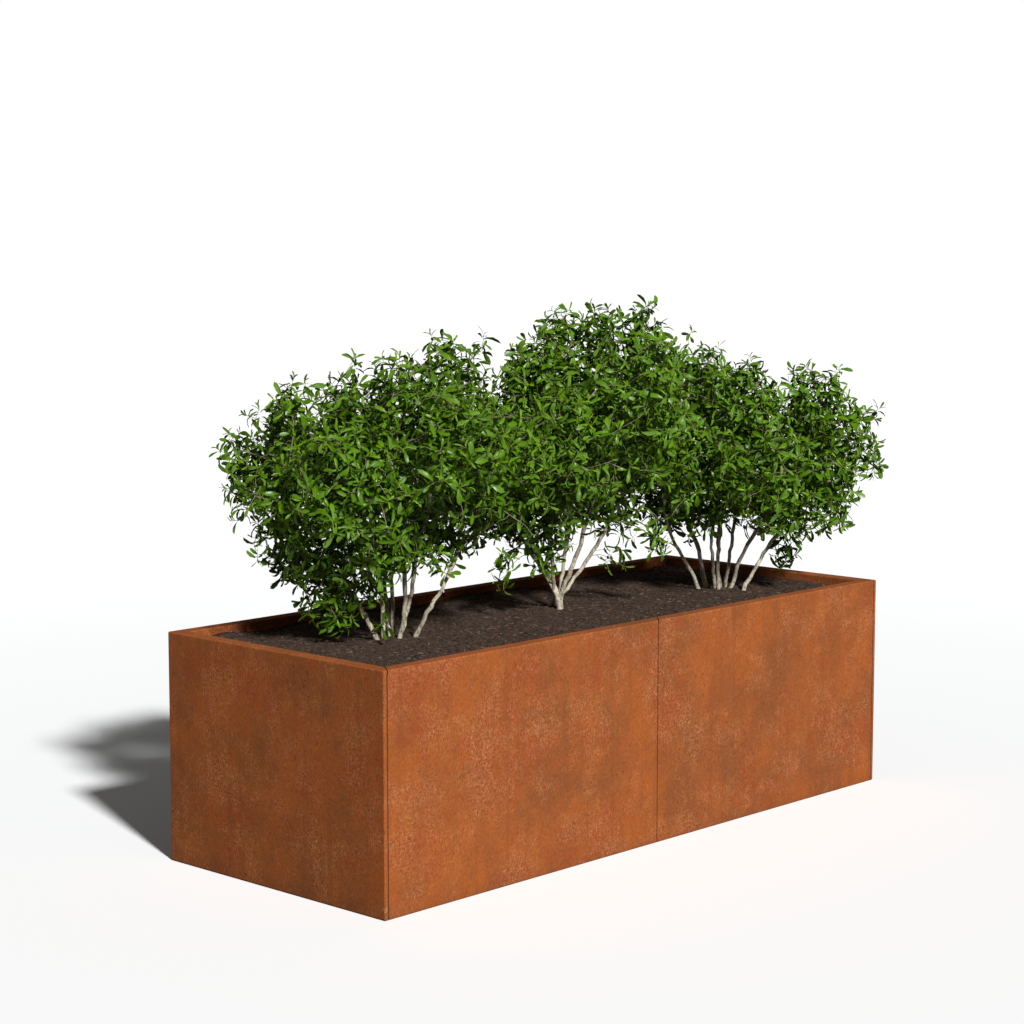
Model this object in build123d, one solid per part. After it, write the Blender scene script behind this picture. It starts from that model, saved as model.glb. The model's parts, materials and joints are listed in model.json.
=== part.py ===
from build123d import *
import math
import os

# A street planter box of folded weathering steel, planted with three evergreen shrubs.
# Units are millimetres.  The origin is on the ground under the middle of the box,
# +X runs along the long sides, +Y across the box, +Z up.

# ---------------------------------------------------------------- overall sizes
LENGTH = 2000.0
WIDTH = 800.0
HEIGHT = 600.0

# ---------------------------------------------------------------- folded panels
SHEET = 3.0
BEND_INNER = 1.0
RIM_WIDTH = 40.0
LIP_DROP = 33.0
FOOT_WIDTH = 60.0
RELIEF_HEIGHT = 10.0
RELIEF_SIDE = 1.5

# ---------------------------------------------------------------- joints and fasteners
BOLT_END_MARGIN = 100.0
BOLT_HOLE_CLEARANCE = 0.5
SEAM_THREAD = 8.0
CORNER_THREAD = 6.0
CORNER_NUT_CLEARANCE = 1.0
THREAD_STAND_OUT = 3.0

# ---------------------------------------------------------------- ground anchors
ANCHOR_HOLE = 12.0
ANCHOR_OUTER_SPACING = 1700.0
ANCHOR_INNER_SPACING = 500.0

# ---------------------------------------------------------------- floor and tie
BEARER_SIZE = 40.0
BEARER_WALL = 3.0
BEARER_COUNT = 5
BEARER_END_GAP = 3.0
FLOOR_SHEET = 3.0
FLOOR_SEAM_GAP = 0.5
DRAIN_HOLE = 20.0
DRAIN_ROWS = 3
DRAIN_PITCH = 220.0
TIE_HEIGHT = 40.0
TIE_THICKNESS = 4.0
TIE_SLOT_CLEARANCE = 1.0

# ---------------------------------------------------------------- fill
LINER_WALL = 2.0
LINER_LIP_GAP = 1.5
LINER_FLANGE_GAP = 0.5
LINER_TOP_GAP = 3.0
GRAVEL_DEPTH = 80.0
FLEECE_THICKNESS = 2.0
MULCH_DEPTH = 30.0
FREEBOARD = 20.0

# ---------------------------------------------------------------- shrubs
SHRUB_SPACING = 600.0
ROOT_BALL_TOP_RADIUS = 160.0
ROOT_BALL_BASE_RADIUS = 130.0
ROOT_BALL_DEPTH = 220.0
CANOPY_RADIUS = 490.0
CANOPY_LIFT = 140.0
CANOPY_SHOULDER = 230.0
CANOPY_BASE_RADIUS = 300.0
CANOPY_GAP = 3.0
STEM_CANOPY_GAP = 0.3
CANOPY_HEIGHTS = {"left": 785.0, "centre": 850.0, "right": 715.0}
STEM_FOOT = {"left": (-605.0, -30.0), "centre": (46.0, -4.0), "right": (626.0, -97.0)}
STEM_COUNTS = {"left": 6, "centre": 7, "right": 8}
STEM_RADIUS = 7.0
TRUNK_RADIUS = 12.0
TRUNK_HEIGHT = 55.0
STEM_TAPER = 0.7
STEM_RING = 30.0
STEM_SPREAD = 120.0

# Hexagon fasteners: width across flats, head height, nut height, washer outside and thickness.
HEX_SIZES = {
    6.0: {"flats": 10.0, "head": 4.0, "nut": 5.0, "washer": 12.0, "washer_thickness": 1.6},
    8.0: {"flats": 13.0, "head": 5.3, "nut": 6.8, "washer": 16.0, "washer_thickness": 1.6},
}

# ---------------------------------------------------------------- worked-out places
HALF_LENGTH = LENGTH / 2
HALF_WIDTH = WIDTH / 2
BEND_OUTER = SHEET + BEND_INNER
LINER_INSET = RIM_WIDTH - SHEET - LINER_LIP_GAP - LINER_WALL
JOINT_DEPTH = LINER_INSET - LINER_FLANGE_GAP
FLANGE_MIDDLE = (JOINT_DEPTH + SHEET) / 2
CORNER_RETURN = 2 * SHEET + HEX_SIZES[CORNER_THREAD]["nut"] + CORNER_NUT_CLEARANCE
CORNER_JOINT_X = HALF_LENGTH - CORNER_RETURN
BOLT_LEVELS = (BOLT_END_MARGIN, HEIGHT / 2, HEIGHT - BOLT_END_MARGIN)
TIE_LEVEL = BOLT_LEVELS[1]
BOLT_Y = HALF_WIDTH - FLANGE_MIDDLE
ANCHOR_Y = HALF_WIDTH - FLANGE_MIDDLE
ANCHOR_X = (
    -ANCHOR_OUTER_SPACING / 2,
    -ANCHOR_INNER_SPACING / 2,
    ANCHOR_INNER_SPACING / 2,
    ANCHOR_OUTER_SPACING / 2,
)
LINER_LENGTH = LENGTH - 2 * LINER_INSET
LINER_WIDTH = WIDTH - 2 * LINER_INSET
FILL_LENGTH = LINER_LENGTH - 2 * LINER_WALL
FILL_WIDTH = LINER_WIDTH - 2 * LINER_WALL
FLOOR_LEVEL = SHEET + BEARER_SIZE
FILL_LEVEL = FLOOR_LEVEL + FLOOR_SHEET
FLEECE_LEVEL = FILL_LEVEL + GRAVEL_DEPTH
SOIL_LEVEL = FLEECE_LEVEL + FLEECE_THICKNESS
MULCH_TOP = HEIGHT - FREEBOARD
MULCH_LEVEL = MULCH_TOP - MULCH_DEPTH
CANOPY_LEVEL = MULCH_TOP + CANOPY_LIFT
SIDES = ("left", "centre", "right")
SHRUB_X = {"left": -SHRUB_SPACING, "centre": 0.0, "right": SHRUB_SPACING}

BOTTOM = (Align.CENTER, Align.CENTER, Align.MIN)
TURNED = Rot(0, 0, 180)


def block(x_range, y_range, z_range):
    """Box between three pairs of limits."""
    low = Vector(x_range[0], y_range[0], z_range[0])
    size = Vector(x_range[1], y_range[1], z_range[1]) - low
    return Pos(low.X, low.Y, low.Z) * Box(size.X, size.Y, size.Z, align=(Align.MIN,) * 3)


def folded_section(outer_points):
    """Section of a folded sheet whose outside follows the points, all bends turning one way."""
    points = [Vector(*point) for point in outer_points]
    turn = (points[1] - points[0]).cross(points[2] - points[1]).Z
    side = 1 if turn > 0 else -1
    inward = []
    for start, end in zip(points, points[1:]):
        along = (end - start).normalized()
        inward.append(Vector(-along.Y, along.X) * side * SHEET)
    inner = [points[0] + inward[0]]
    for point, before, after in zip(points[1:-1], inward, inward[1:]):
        inner.append(point + before + after)
    inner.append(points[-1] + inward[-1])
    outside = FilletPolyline(*points, radius=BEND_OUTER)
    inside = FilletPolyline(*inner, radius=BEND_INNER)
    ends = [Line(points[0], inner[0]), Line(points[-1], inner[-1])]
    return make_face([*outside.edges(), *inside.edges(), *ends])


def beyond_cut(outer_x, inner_x, side):
    """Prism that removes everything past a slanted line across the rim at the front side.

    The line starts at the outer face at outer_x and reaches the rim's inner edge at inner_x.
    """
    overrun = FOOT_WIDTH
    slope = (inner_x - outer_x) / RIM_WIDTH
    start = (outer_x - slope * overrun, -HALF_WIDTH - overrun)
    end = (outer_x + slope * (RIM_WIDTH + overrun), -HALF_WIDTH + RIM_WIDTH + overrun)
    reach = side * (LENGTH + WIDTH)
    outline = Polyline(start, end, (end[0] + reach, end[1]), (start[0] + reach, start[1]), close=True)
    return extrude(make_face(outline.edges()), HEIGHT)


def side_section():
    """Section across a long side: foot, face, rim and down-turned lip."""
    return folded_section([
        (-HALF_WIDTH + FOOT_WIDTH, 0),
        (-HALF_WIDTH, 0),
        (-HALF_WIDTH, HEIGHT),
        (-HALF_WIDTH + RIM_WIDTH, HEIGHT),
        (-HALF_WIDTH + RIM_WIDTH, HEIGHT - LIP_DROP),
    ])


def joint_holes(x_joint, thread):
    """Bolt holes along X through the joint flanges at one joint plane of the front side."""
    radius = thread / 2 + BOLT_HOLE_CLEARANCE
    reach = 4 * SHEET
    drill = Rot(0, 90, 0) * Cylinder(radius, reach)
    return [Pos(x_joint, -BOLT_Y, level) * drill for level in BOLT_LEVELS]


def anchor_holes(x_from, x_to):
    """Ground anchor holes through the foot of the front side, between two X limits."""
    drill = Cylinder(ANCHOR_HOLE / 2, 4 * SHEET)
    return [Pos(x, -ANCHOR_Y, 0) * drill for x in ANCHOR_X if x_from < x < x_to]


def long_panel(x_left, x_right, left_cut, right_cut, left_thread, right_thread):
    """One panel of the front side between two joint planes, with rim and foot cut at both ends."""
    overrun = RIM_WIDTH + FOOT_WIDTH
    strips = Pos(x_left - overrun) * extrude(Plane.YZ * side_section(), x_right - x_left + 2 * overrun)
    wall_levels = (RELIEF_HEIGHT, HEIGHT - RELIEF_HEIGHT)
    face_depth = (-HALF_WIDTH, -HALF_WIDTH + SHEET)
    strips -= block((x_left - overrun, x_right + overrun), face_depth, wall_levels)
    strips -= beyond_cut(*left_cut, side=-1)
    strips -= beyond_cut(*right_cut, side=1)
    wall = folded_section([
        (x_left, -HALF_WIDTH + JOINT_DEPTH),
        (x_left, -HALF_WIDTH),
        (x_right, -HALF_WIDTH),
        (x_right, -HALF_WIDTH + JOINT_DEPTH),
    ])
    panel = strips + Pos(0, 0, wall_levels[0]) * extrude(wall, wall_levels[1] - wall_levels[0])
    panel -= joint_holes(x_left, left_thread)
    panel -= joint_holes(x_right, right_thread)
    panel -= anchor_holes(x_left, x_right)
    return panel


def seam_cut(side):
    """Slanted cut of the rim at the middle seam, for the panel on one side of it."""
    offset = side * RELIEF_SIDE
    return (offset, RIM_WIDTH + offset)


def corner_cut(side):
    """Mitre of the rim at the left front corner, for the long panel (1) or the end panel (-1)."""
    offset = side * RELIEF_SIDE
    return (-CORNER_JOINT_X + offset, -HALF_LENGTH + RIM_WIDTH + offset)


def mirrored_corner_cut():
    """Mitre of the rim at the right front corner, for the long panel."""
    outer_x, inner_x = corner_cut(1)
    return (-outer_x, -inner_x)


def front_panels():
    """The two panels of the front side, left then right."""
    left = long_panel(-CORNER_JOINT_X, 0, corner_cut(1), seam_cut(-1), CORNER_THREAD, SEAM_THREAD)
    right = long_panel(0, CORNER_JOINT_X, seam_cut(1), mirrored_corner_cut(), SEAM_THREAD, CORNER_THREAD)
    return left, right


def end_panel():
    """The left end panel, which wraps both corners with a short return and a joint flange."""
    section = folded_section([
        (-HALF_LENGTH + FOOT_WIDTH, 0),
        (-HALF_LENGTH, 0),
        (-HALF_LENGTH, HEIGHT),
        (-HALF_LENGTH + RIM_WIDTH, HEIGHT),
        (-HALF_LENGTH + RIM_WIDTH, HEIGHT - LIP_DROP),
    ])
    strips = Pos(0, HALF_WIDTH) * extrude(Plane.XZ * section, WIDTH)
    wall_levels = (RELIEF_HEIGHT, HEIGHT - RELIEF_HEIGHT)
    face_depth = (-HALF_LENGTH, -HALF_LENGTH + SHEET)
    return_width = (-HALF_LENGTH, -CORNER_JOINT_X)
    for levels in ((0, RELIEF_HEIGHT), (HEIGHT - RELIEF_HEIGHT, HEIGHT)):
        for y_range in ((-HALF_WIDTH, -HALF_WIDTH + SHEET), (HALF_WIDTH - SHEET, HALF_WIDTH)):
            strips += block(return_width, y_range, levels)
    strips -= block(face_depth, (-HALF_WIDTH, HALF_WIDTH), wall_levels)
    envelope = block((-HALF_LENGTH, HALF_LENGTH), (-HALF_WIDTH, HALF_WIDTH), (0, HEIGHT))
    strips &= fillet(envelope.edges(), BEND_OUTER)
    front_mitre = beyond_cut(*corner_cut(-1), side=1)
    strips -= front_mitre
    strips -= mirror(front_mitre, Plane.XZ)
    wall = folded_section([
        (-CORNER_JOINT_X, -HALF_WIDTH + JOINT_DEPTH),
        (-CORNER_JOINT_X, -HALF_WIDTH),
        (-HALF_LENGTH, -HALF_WIDTH),
        (-HALF_LENGTH, HALF_WIDTH),
        (-CORNER_JOINT_X, HALF_WIDTH),
        (-CORNER_JOINT_X, HALF_WIDTH - JOINT_DEPTH),
    ])
    panel = strips + Pos(0, 0, wall_levels[0]) * extrude(wall, wall_levels[1] - wall_levels[0])
    holes = joint_holes(-CORNER_JOINT_X - SHEET, CORNER_THREAD)
    panel -= holes
    panel -= [mirror(hole, Plane.XZ) for hole in holes]
    return panel


def hexagon(flats, height):
    """Hexagon prism standing on its base."""
    return extrude(RegularPolygon(flats / 2, 6, major_radius=False), height)


def bolt(thread, length):
    """Hexagon bolt along +X: the head lies behind x = 0 and the shank ahead of it."""
    size = HEX_SIZES[thread]
    head = Pos(0, 0, -size["head"]) * hexagon(size["flats"], size["head"])
    shank = Cylinder(thread / 2, length, align=BOTTOM)
    return Rot(0, 90, 0) * (head + shank)


def ring(thread, outline, height):
    """Nut or washer along +X, made from a prism with the thread's hole."""
    hole = Cylinder(thread / 2, 4 * height)
    return Rot(0, 90, 0) * (outline - hole)


def nut(thread):
    """Hexagon nut along +X from x = 0."""
    size = HEX_SIZES[thread]
    return ring(thread, hexagon(size["flats"], size["nut"]), size["nut"])


def washer(thread):
    """Plain washer along +X from x = 0."""
    size = HEX_SIZES[thread]
    height = size["washer_thickness"]
    return ring(thread, Cylinder(size["washer"] / 2, height, align=BOTTOM), height)


def corner_fasteners():
    """Screws, washers and weld nuts of the four corner joints, three levels each."""
    screws, washers, nuts = [], [], []
    size = HEX_SIZES[CORNER_THREAD]
    head_x = -CORNER_JOINT_X + SHEET + size["washer_thickness"]
    nut_x = -CORNER_JOINT_X - SHEET
    screw_length = head_x - nut_x + size["nut"]
    for end in (Rot(), TURNED):
        for y in (-BOLT_Y, BOLT_Y):
            for level in BOLT_LEVELS:
                at_head = end * Pos(head_x, y, level) * TURNED
                at_nut = end * Pos(nut_x, y, level) * TURNED
                screws.append(at_head * bolt(CORNER_THREAD, screw_length))
                washers.append(at_head * washer(CORNER_THREAD))
                nuts.append(at_nut * nut(CORNER_THREAD))
    return screws, washers, nuts


def seam_fasteners():
    """Bolts, washers and nuts of the two middle seams; the middle ones also hold the cross tie."""
    bolts, washers, nuts = [], [], []
    size = HEX_SIZES[SEAM_THREAD]
    washer_thickness = size["washer_thickness"]
    for y in (-BOLT_Y, BOLT_Y):
        for level in BOLT_LEVELS:
            far_face = SHEET + (TIE_THICKNESS if level == TIE_LEVEL else 0)
            head_x = -SHEET - washer_thickness
            nut_x = far_face + washer_thickness
            length = nut_x + size["nut"] + THREAD_STAND_OUT - head_x
            bolts.append(Pos(head_x, y, level) * bolt(SEAM_THREAD, length))
            washers.append(Pos(head_x, y, level) * washer(SEAM_THREAD))
            washers.append(Pos(far_face, y, level) * washer(SEAM_THREAD))
            nuts.append(Pos(nut_x, y, level) * nut(SEAM_THREAD))
    return bolts, washers, nuts


def cross_tie():
    """Flat bar across the box at the middle seam, bolted to both seam flanges."""
    reach = HALF_WIDTH - BEND_OUTER - SHEET
    bar = block(
        (SHEET, SHEET + TIE_THICKNESS),
        (-reach, reach),
        (TIE_LEVEL - TIE_HEIGHT / 2, TIE_LEVEL + TIE_HEIGHT / 2),
    )
    drill = Rot(0, 90, 0) * Cylinder(SEAM_THREAD / 2 + BOLT_HOLE_CLEARANCE, 8 * SHEET)
    return bar - [Pos(0, y, TIE_LEVEL) * drill for y in (-BOLT_Y, BOLT_Y)]


def bearer_places():
    """X places of the floor bearers, the outer ones just inside the liner."""
    outer = LINER_LENGTH / 2 - BEARER_SIZE / 2
    step = 2 * outer / (BEARER_COUNT - 1)
    return [-outer + step * index for index in range(BEARER_COUNT)]


def floor_bearer(x):
    """Square tube across the box, lying on the front and rear feet."""
    half = HALF_WIDTH - JOINT_DEPTH - BEARER_END_GAP
    inner = BEARER_SIZE - 2 * BEARER_WALL
    section = Rectangle(BEARER_SIZE, BEARER_SIZE) - Rectangle(inner, inner)
    tube = extrude(Plane.XZ * section, half, both=True)
    return Pos(x, 0, SHEET + BEARER_SIZE / 2) * tube


def floor_plate(side):
    """One of the two loose floor plates, with drain holes between the bearers."""
    inner_x = side * FLOOR_SEAM_GAP / 2
    outer_x = side * LINER_LENGTH / 2
    x_range = (min(inner_x, outer_x), max(inner_x, outer_x))
    plate = block(x_range, (-LINER_WIDTH / 2, LINER_WIDTH / 2), (FLOOR_LEVEL, FILL_LEVEL))
    places = bearer_places()
    drill = Cylinder(DRAIN_HOLE / 2, 4 * FLOOR_SHEET)
    for left, right in zip(places, places[1:]):
        middle = (left + right) / 2
        if middle * side > 0:
            for row in range(DRAIN_ROWS):
                y = (row - (DRAIN_ROWS - 1) / 2) * DRAIN_PITCH
                for offset in (-1, 1):
                    x = middle + offset * (right - left - BEARER_SIZE) / 4
                    plate -= Pos(x, y, FLOOR_LEVEL) * drill
    return plate


def liner():
    """Upright liner wall that keeps the fill off the steel, slotted for the cross tie."""
    height = HEIGHT - SHEET - LINER_TOP_GAP - FILL_LEVEL
    section = Rectangle(LINER_LENGTH, LINER_WIDTH) - Rectangle(FILL_LENGTH, FILL_WIDTH)
    wall = Pos(0, 0, FILL_LEVEL) * extrude(section, height)
    return wall - tie_room()


def tie_room():
    """Room for the cross tie through the liner, with its clearance all round."""
    return block(
        (SHEET - TIE_SLOT_CLEARANCE, SHEET + TIE_THICKNESS + TIE_SLOT_CLEARANCE),
        (-HALF_WIDTH, HALF_WIDTH),
        (TIE_LEVEL - TIE_HEIGHT / 2 - TIE_SLOT_CLEARANCE, TIE_LEVEL + TIE_HEIGHT / 2 + TIE_SLOT_CLEARANCE),
    )


def fill_block(z_from, z_to):
    """Layer that fills the liner from wall to wall."""
    return block((-FILL_LENGTH / 2, FILL_LENGTH / 2), (-FILL_WIDTH / 2, FILL_WIDTH / 2), (z_from, z_to))


def root_ball(side):
    """Tapered ball of roots and compost, its top level with the underside of the mulch."""
    x, y = STEM_FOOT[side]
    ball = Cone(ROOT_BALL_BASE_RADIUS, ROOT_BALL_TOP_RADIUS, ROOT_BALL_DEPTH, align=BOTTOM)
    return Pos(x, y, MULCH_LEVEL - ROOT_BALL_DEPTH) * ball


def limb(start, end, radius):
    """Tapered round limb from one point to past another."""
    run = Vector(*end) - Vector(*start)
    cone = Cone(radius, radius * STEM_TAPER, run.length, align=BOTTOM)
    return Plane(origin=start, z_dir=run) * cone


def stems(side):
    """Bare stems between the root ball and the underside of the canopy.

    The centre shrub forks from one short trunk; the others send up stems from the soil.
    """
    x, y = STEM_FOOT[side]
    count = STEM_COUNTS[side]
    single_trunk = side == "centre"
    base_level = MULCH_LEVEL - SHEET
    fork_level = MULCH_TOP + TRUNK_HEIGHT
    top_level = CANOPY_LEVEL + STEM_RADIUS
    limbs = []
    if single_trunk:
        limbs.append(limb((x, y, base_level), (x, y, fork_level), TRUNK_RADIUS))
        limbs.append(Pos(x, y, fork_level) * Sphere(TRUNK_RADIUS))
    for index in range(count):
        angle = math.tau * index / count
        ring_radius = 0 if single_trunk else STEM_RING
        start_level = fork_level if single_trunk else base_level
        direction = Vector(math.cos(angle), math.sin(angle))
        foot = Vector(x, y, start_level) + direction * ring_radius
        head = Vector(x, y, top_level) + direction * STEM_SPREAD
        limbs.append(limb(tuple(foot), tuple(head), STEM_RADIUS))
    room = block(
        (-HALF_LENGTH, HALF_LENGTH),
        (-HALF_WIDTH, HALF_WIDTH),
        (MULCH_LEVEL, CANOPY_LEVEL - STEM_CANOPY_GAP),
    )
    if single_trunk:
        tree = limbs[0]
        for one in limbs[1:]:
            tree += one
        return tree & room
    return [one & room for one in limbs]


def canopy(side):
    """Closed body of one leafy crown: flat below, widest at the shoulder, domed above."""
    top = CANOPY_HEIGHTS[side]
    shoulder = (CANOPY_RADIUS, CANOPY_SHOULDER)
    crown_height = top - CANOPY_LIFT - CANOPY_SHOULDER
    foot = Line((0, 0), (CANOPY_BASE_RADIUS, 0))
    flank = TangentArc(shoulder, (CANOPY_BASE_RADIUS, 0), tangent=(0, -1), tangent_from_first=True)
    crown_top = (0, CANOPY_SHOULDER + crown_height)
    dome = Spline(shoulder, crown_top, tangents=[(0, 1), (-1, 0)])
    axis = Line((0, 0), crown_top)
    section = make_face([*foot.edges(), *flank.edges(), *dome.edges(), *axis.edges()])
    crown = Pos(SHRUB_X[side], 0, CANOPY_LEVEL) * revolve(Plane.XZ * section, Axis.Z)
    border = SHRUB_SPACING / 2
    reach = LENGTH + CANOPY_RADIUS
    x_ranges = {
        "left": (-reach, -border - CANOPY_GAP),
        "centre": (-border, border),
        "right": (border + CANOPY_GAP, reach),
    }
    room = block(x_ranges[side], (-CANOPY_RADIUS * 2, CANOPY_RADIUS * 2), (0, HEIGHT + 2 * top))
    return crown & room


def solids_of(shape):
    """All the solids of a shape or of a list of shapes."""
    if isinstance(shape, (list, tuple)):
        return [solid for one in shape for solid in solids_of(one)]
    return list(shape.solids())


def write_node(name, shape):
    """Write one named sub-part to its STEP file."""
    solids = solids_of(shape)
    body = solids[0] if len(solids) == 1 else Compound(children=solids)
    export_step(body, f"parts/{name}.step")


def main():
    """Build every sub-part and write it."""
    os.makedirs("parts", exist_ok=True)
    front_left, front_right = front_panels()
    left_end = end_panel()
    write_node("front_panel_left", front_left)
    write_node("front_panel_right", front_right)
    write_node("rear_panel_right", TURNED * front_left)
    write_node("rear_panel_left", TURNED * front_right)
    write_node("end_panel_left", left_end)
    write_node("end_panel_right", TURNED * left_end)

    corner_parts = corner_fasteners()
    for name, group in zip(("corner_screws", "corner_washers", "corner_weld_nuts"), corner_parts):
        write_node(name, group)
    seam_parts = seam_fasteners()
    for name, group in zip(("seam_bolts", "seam_washers", "seam_nuts"), seam_parts):
        write_node(name, group)

    tie = cross_tie()
    write_node("cross_tie", tie)
    for number, x in enumerate(bearer_places(), start=1):
        write_node(f"floor_bearer_{number}", floor_bearer(x))
    write_node("floor_plate_left", floor_plate(-1))
    write_node("floor_plate_right", floor_plate(1))

    write_node("liner", liner())
    write_node("drainage_gravel", fill_block(FILL_LEVEL, FLEECE_LEVEL))
    write_node("filter_fleece", fill_block(FLEECE_LEVEL, SOIL_LEVEL))
    balls = [root_ball(side) for side in SIDES]
    all_stems = {side: stems(side) for side in SIDES}
    soil = fill_block(SOIL_LEVEL, MULCH_LEVEL) - balls - tie
    write_node("soil_fill", soil)
    inside_lip = (HALF_LENGTH - RIM_WIDTH, HALF_WIDTH - RIM_WIDTH)
    mulch = block(
        (-inside_lip[0], inside_lip[0]),
        (-inside_lip[1], inside_lip[1]),
        (MULCH_LEVEL, MULCH_TOP),
    )
    mulch -= [solid for side in SIDES for solid in solids_of(all_stems[side])]
    write_node("bark_mulch", mulch)
    for side, ball in zip(SIDES, balls):
        write_node(f"{side}_shrub_root_ball", ball)
        write_node(f"{side}_shrub_stems", all_stems[side])
        write_node(f"{side}_shrub_canopy", canopy(side))


main()
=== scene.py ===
"""A weathering-steel street planter with three evergreen shrubs, dressed and planted in the CAD frame."""
import json
import logging
import math
from dataclasses import dataclass, field
from enum import Enum
from typing import Any, Callable, Sequence, Union

import bpy
import numpy as np
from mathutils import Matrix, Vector


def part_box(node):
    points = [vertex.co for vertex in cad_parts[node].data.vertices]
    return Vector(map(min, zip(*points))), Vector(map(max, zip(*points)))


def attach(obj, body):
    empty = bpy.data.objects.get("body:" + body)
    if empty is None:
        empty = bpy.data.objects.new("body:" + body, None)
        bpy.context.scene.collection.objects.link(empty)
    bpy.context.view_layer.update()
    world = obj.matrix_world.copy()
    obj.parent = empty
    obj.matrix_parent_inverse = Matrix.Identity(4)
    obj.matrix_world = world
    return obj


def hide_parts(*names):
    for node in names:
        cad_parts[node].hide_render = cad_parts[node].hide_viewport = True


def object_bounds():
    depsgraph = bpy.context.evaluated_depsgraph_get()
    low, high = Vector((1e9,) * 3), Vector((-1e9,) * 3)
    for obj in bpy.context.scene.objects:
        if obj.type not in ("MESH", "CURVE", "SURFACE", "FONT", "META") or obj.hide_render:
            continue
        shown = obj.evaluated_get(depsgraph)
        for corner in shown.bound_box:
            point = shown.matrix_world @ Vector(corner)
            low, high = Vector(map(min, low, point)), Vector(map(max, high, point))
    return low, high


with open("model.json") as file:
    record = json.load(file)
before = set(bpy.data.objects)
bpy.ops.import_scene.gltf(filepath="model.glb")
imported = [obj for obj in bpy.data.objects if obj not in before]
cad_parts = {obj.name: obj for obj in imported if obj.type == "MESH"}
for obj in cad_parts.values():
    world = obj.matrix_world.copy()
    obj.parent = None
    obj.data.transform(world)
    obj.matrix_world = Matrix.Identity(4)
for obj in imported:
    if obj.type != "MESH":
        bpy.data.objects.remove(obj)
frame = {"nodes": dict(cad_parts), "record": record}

bpy.context.view_layer.update()
CAD_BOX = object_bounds()
BODY = "root"
GOLDEN_TURN = math.radians(137.5)
TINY = 1e-6

Triple = tuple[float, float, float]
Span = tuple[float, float]
Heights = Callable[[np.ndarray, np.ndarray], np.ndarray]
log = logging.getLogger("planter")


# ---------------------------------------------------------------- node expressions


class Wire:
    """An output socket that takes part in Python expressions."""

    def __init__(self, graph: "Graph", socket: bpy.types.NodeSocket) -> None:
        """Keeps the socket and the graph that new nodes go into."""
        self.graph = graph
        self.socket = socket

    def __add__(self, other: "Value") -> "Wire":
        """This plus other."""
        return self.graph.maths("ADD", self, other)

    def __radd__(self, other: "Value") -> "Wire":
        """Other plus this."""
        return self.graph.maths("ADD", other, self)

    def __sub__(self, other: "Value") -> "Wire":
        """This minus other."""
        return self.graph.maths("SUBTRACT", self, other)

    def __rsub__(self, other: "Value") -> "Wire":
        """Other minus this."""
        return self.graph.maths("SUBTRACT", other, self)

    def __mul__(self, other: "Value") -> "Wire":
        """This times other."""
        return self.graph.maths("MULTIPLY", self, other)

    def __rmul__(self, other: "Value") -> "Wire":
        """Other times this."""
        return self.graph.maths("MULTIPLY", other, self)

    def __abs__(self) -> "Wire":
        """This without its sign."""
        return self.graph.maths("ABSOLUTE", self)

    def sine(self) -> "Wire":
        """The sine of this, in radians."""
        return self.graph.maths("SINE", self)

    def part(self, axis: str) -> "Wire":
        """One axis, X, Y or Z, of a vector."""
        return self.graph.node("ShaderNodeSeparateXYZ", {}, {"Vector": self}, axis)


Value = Union[Wire, float, Triple]


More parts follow.
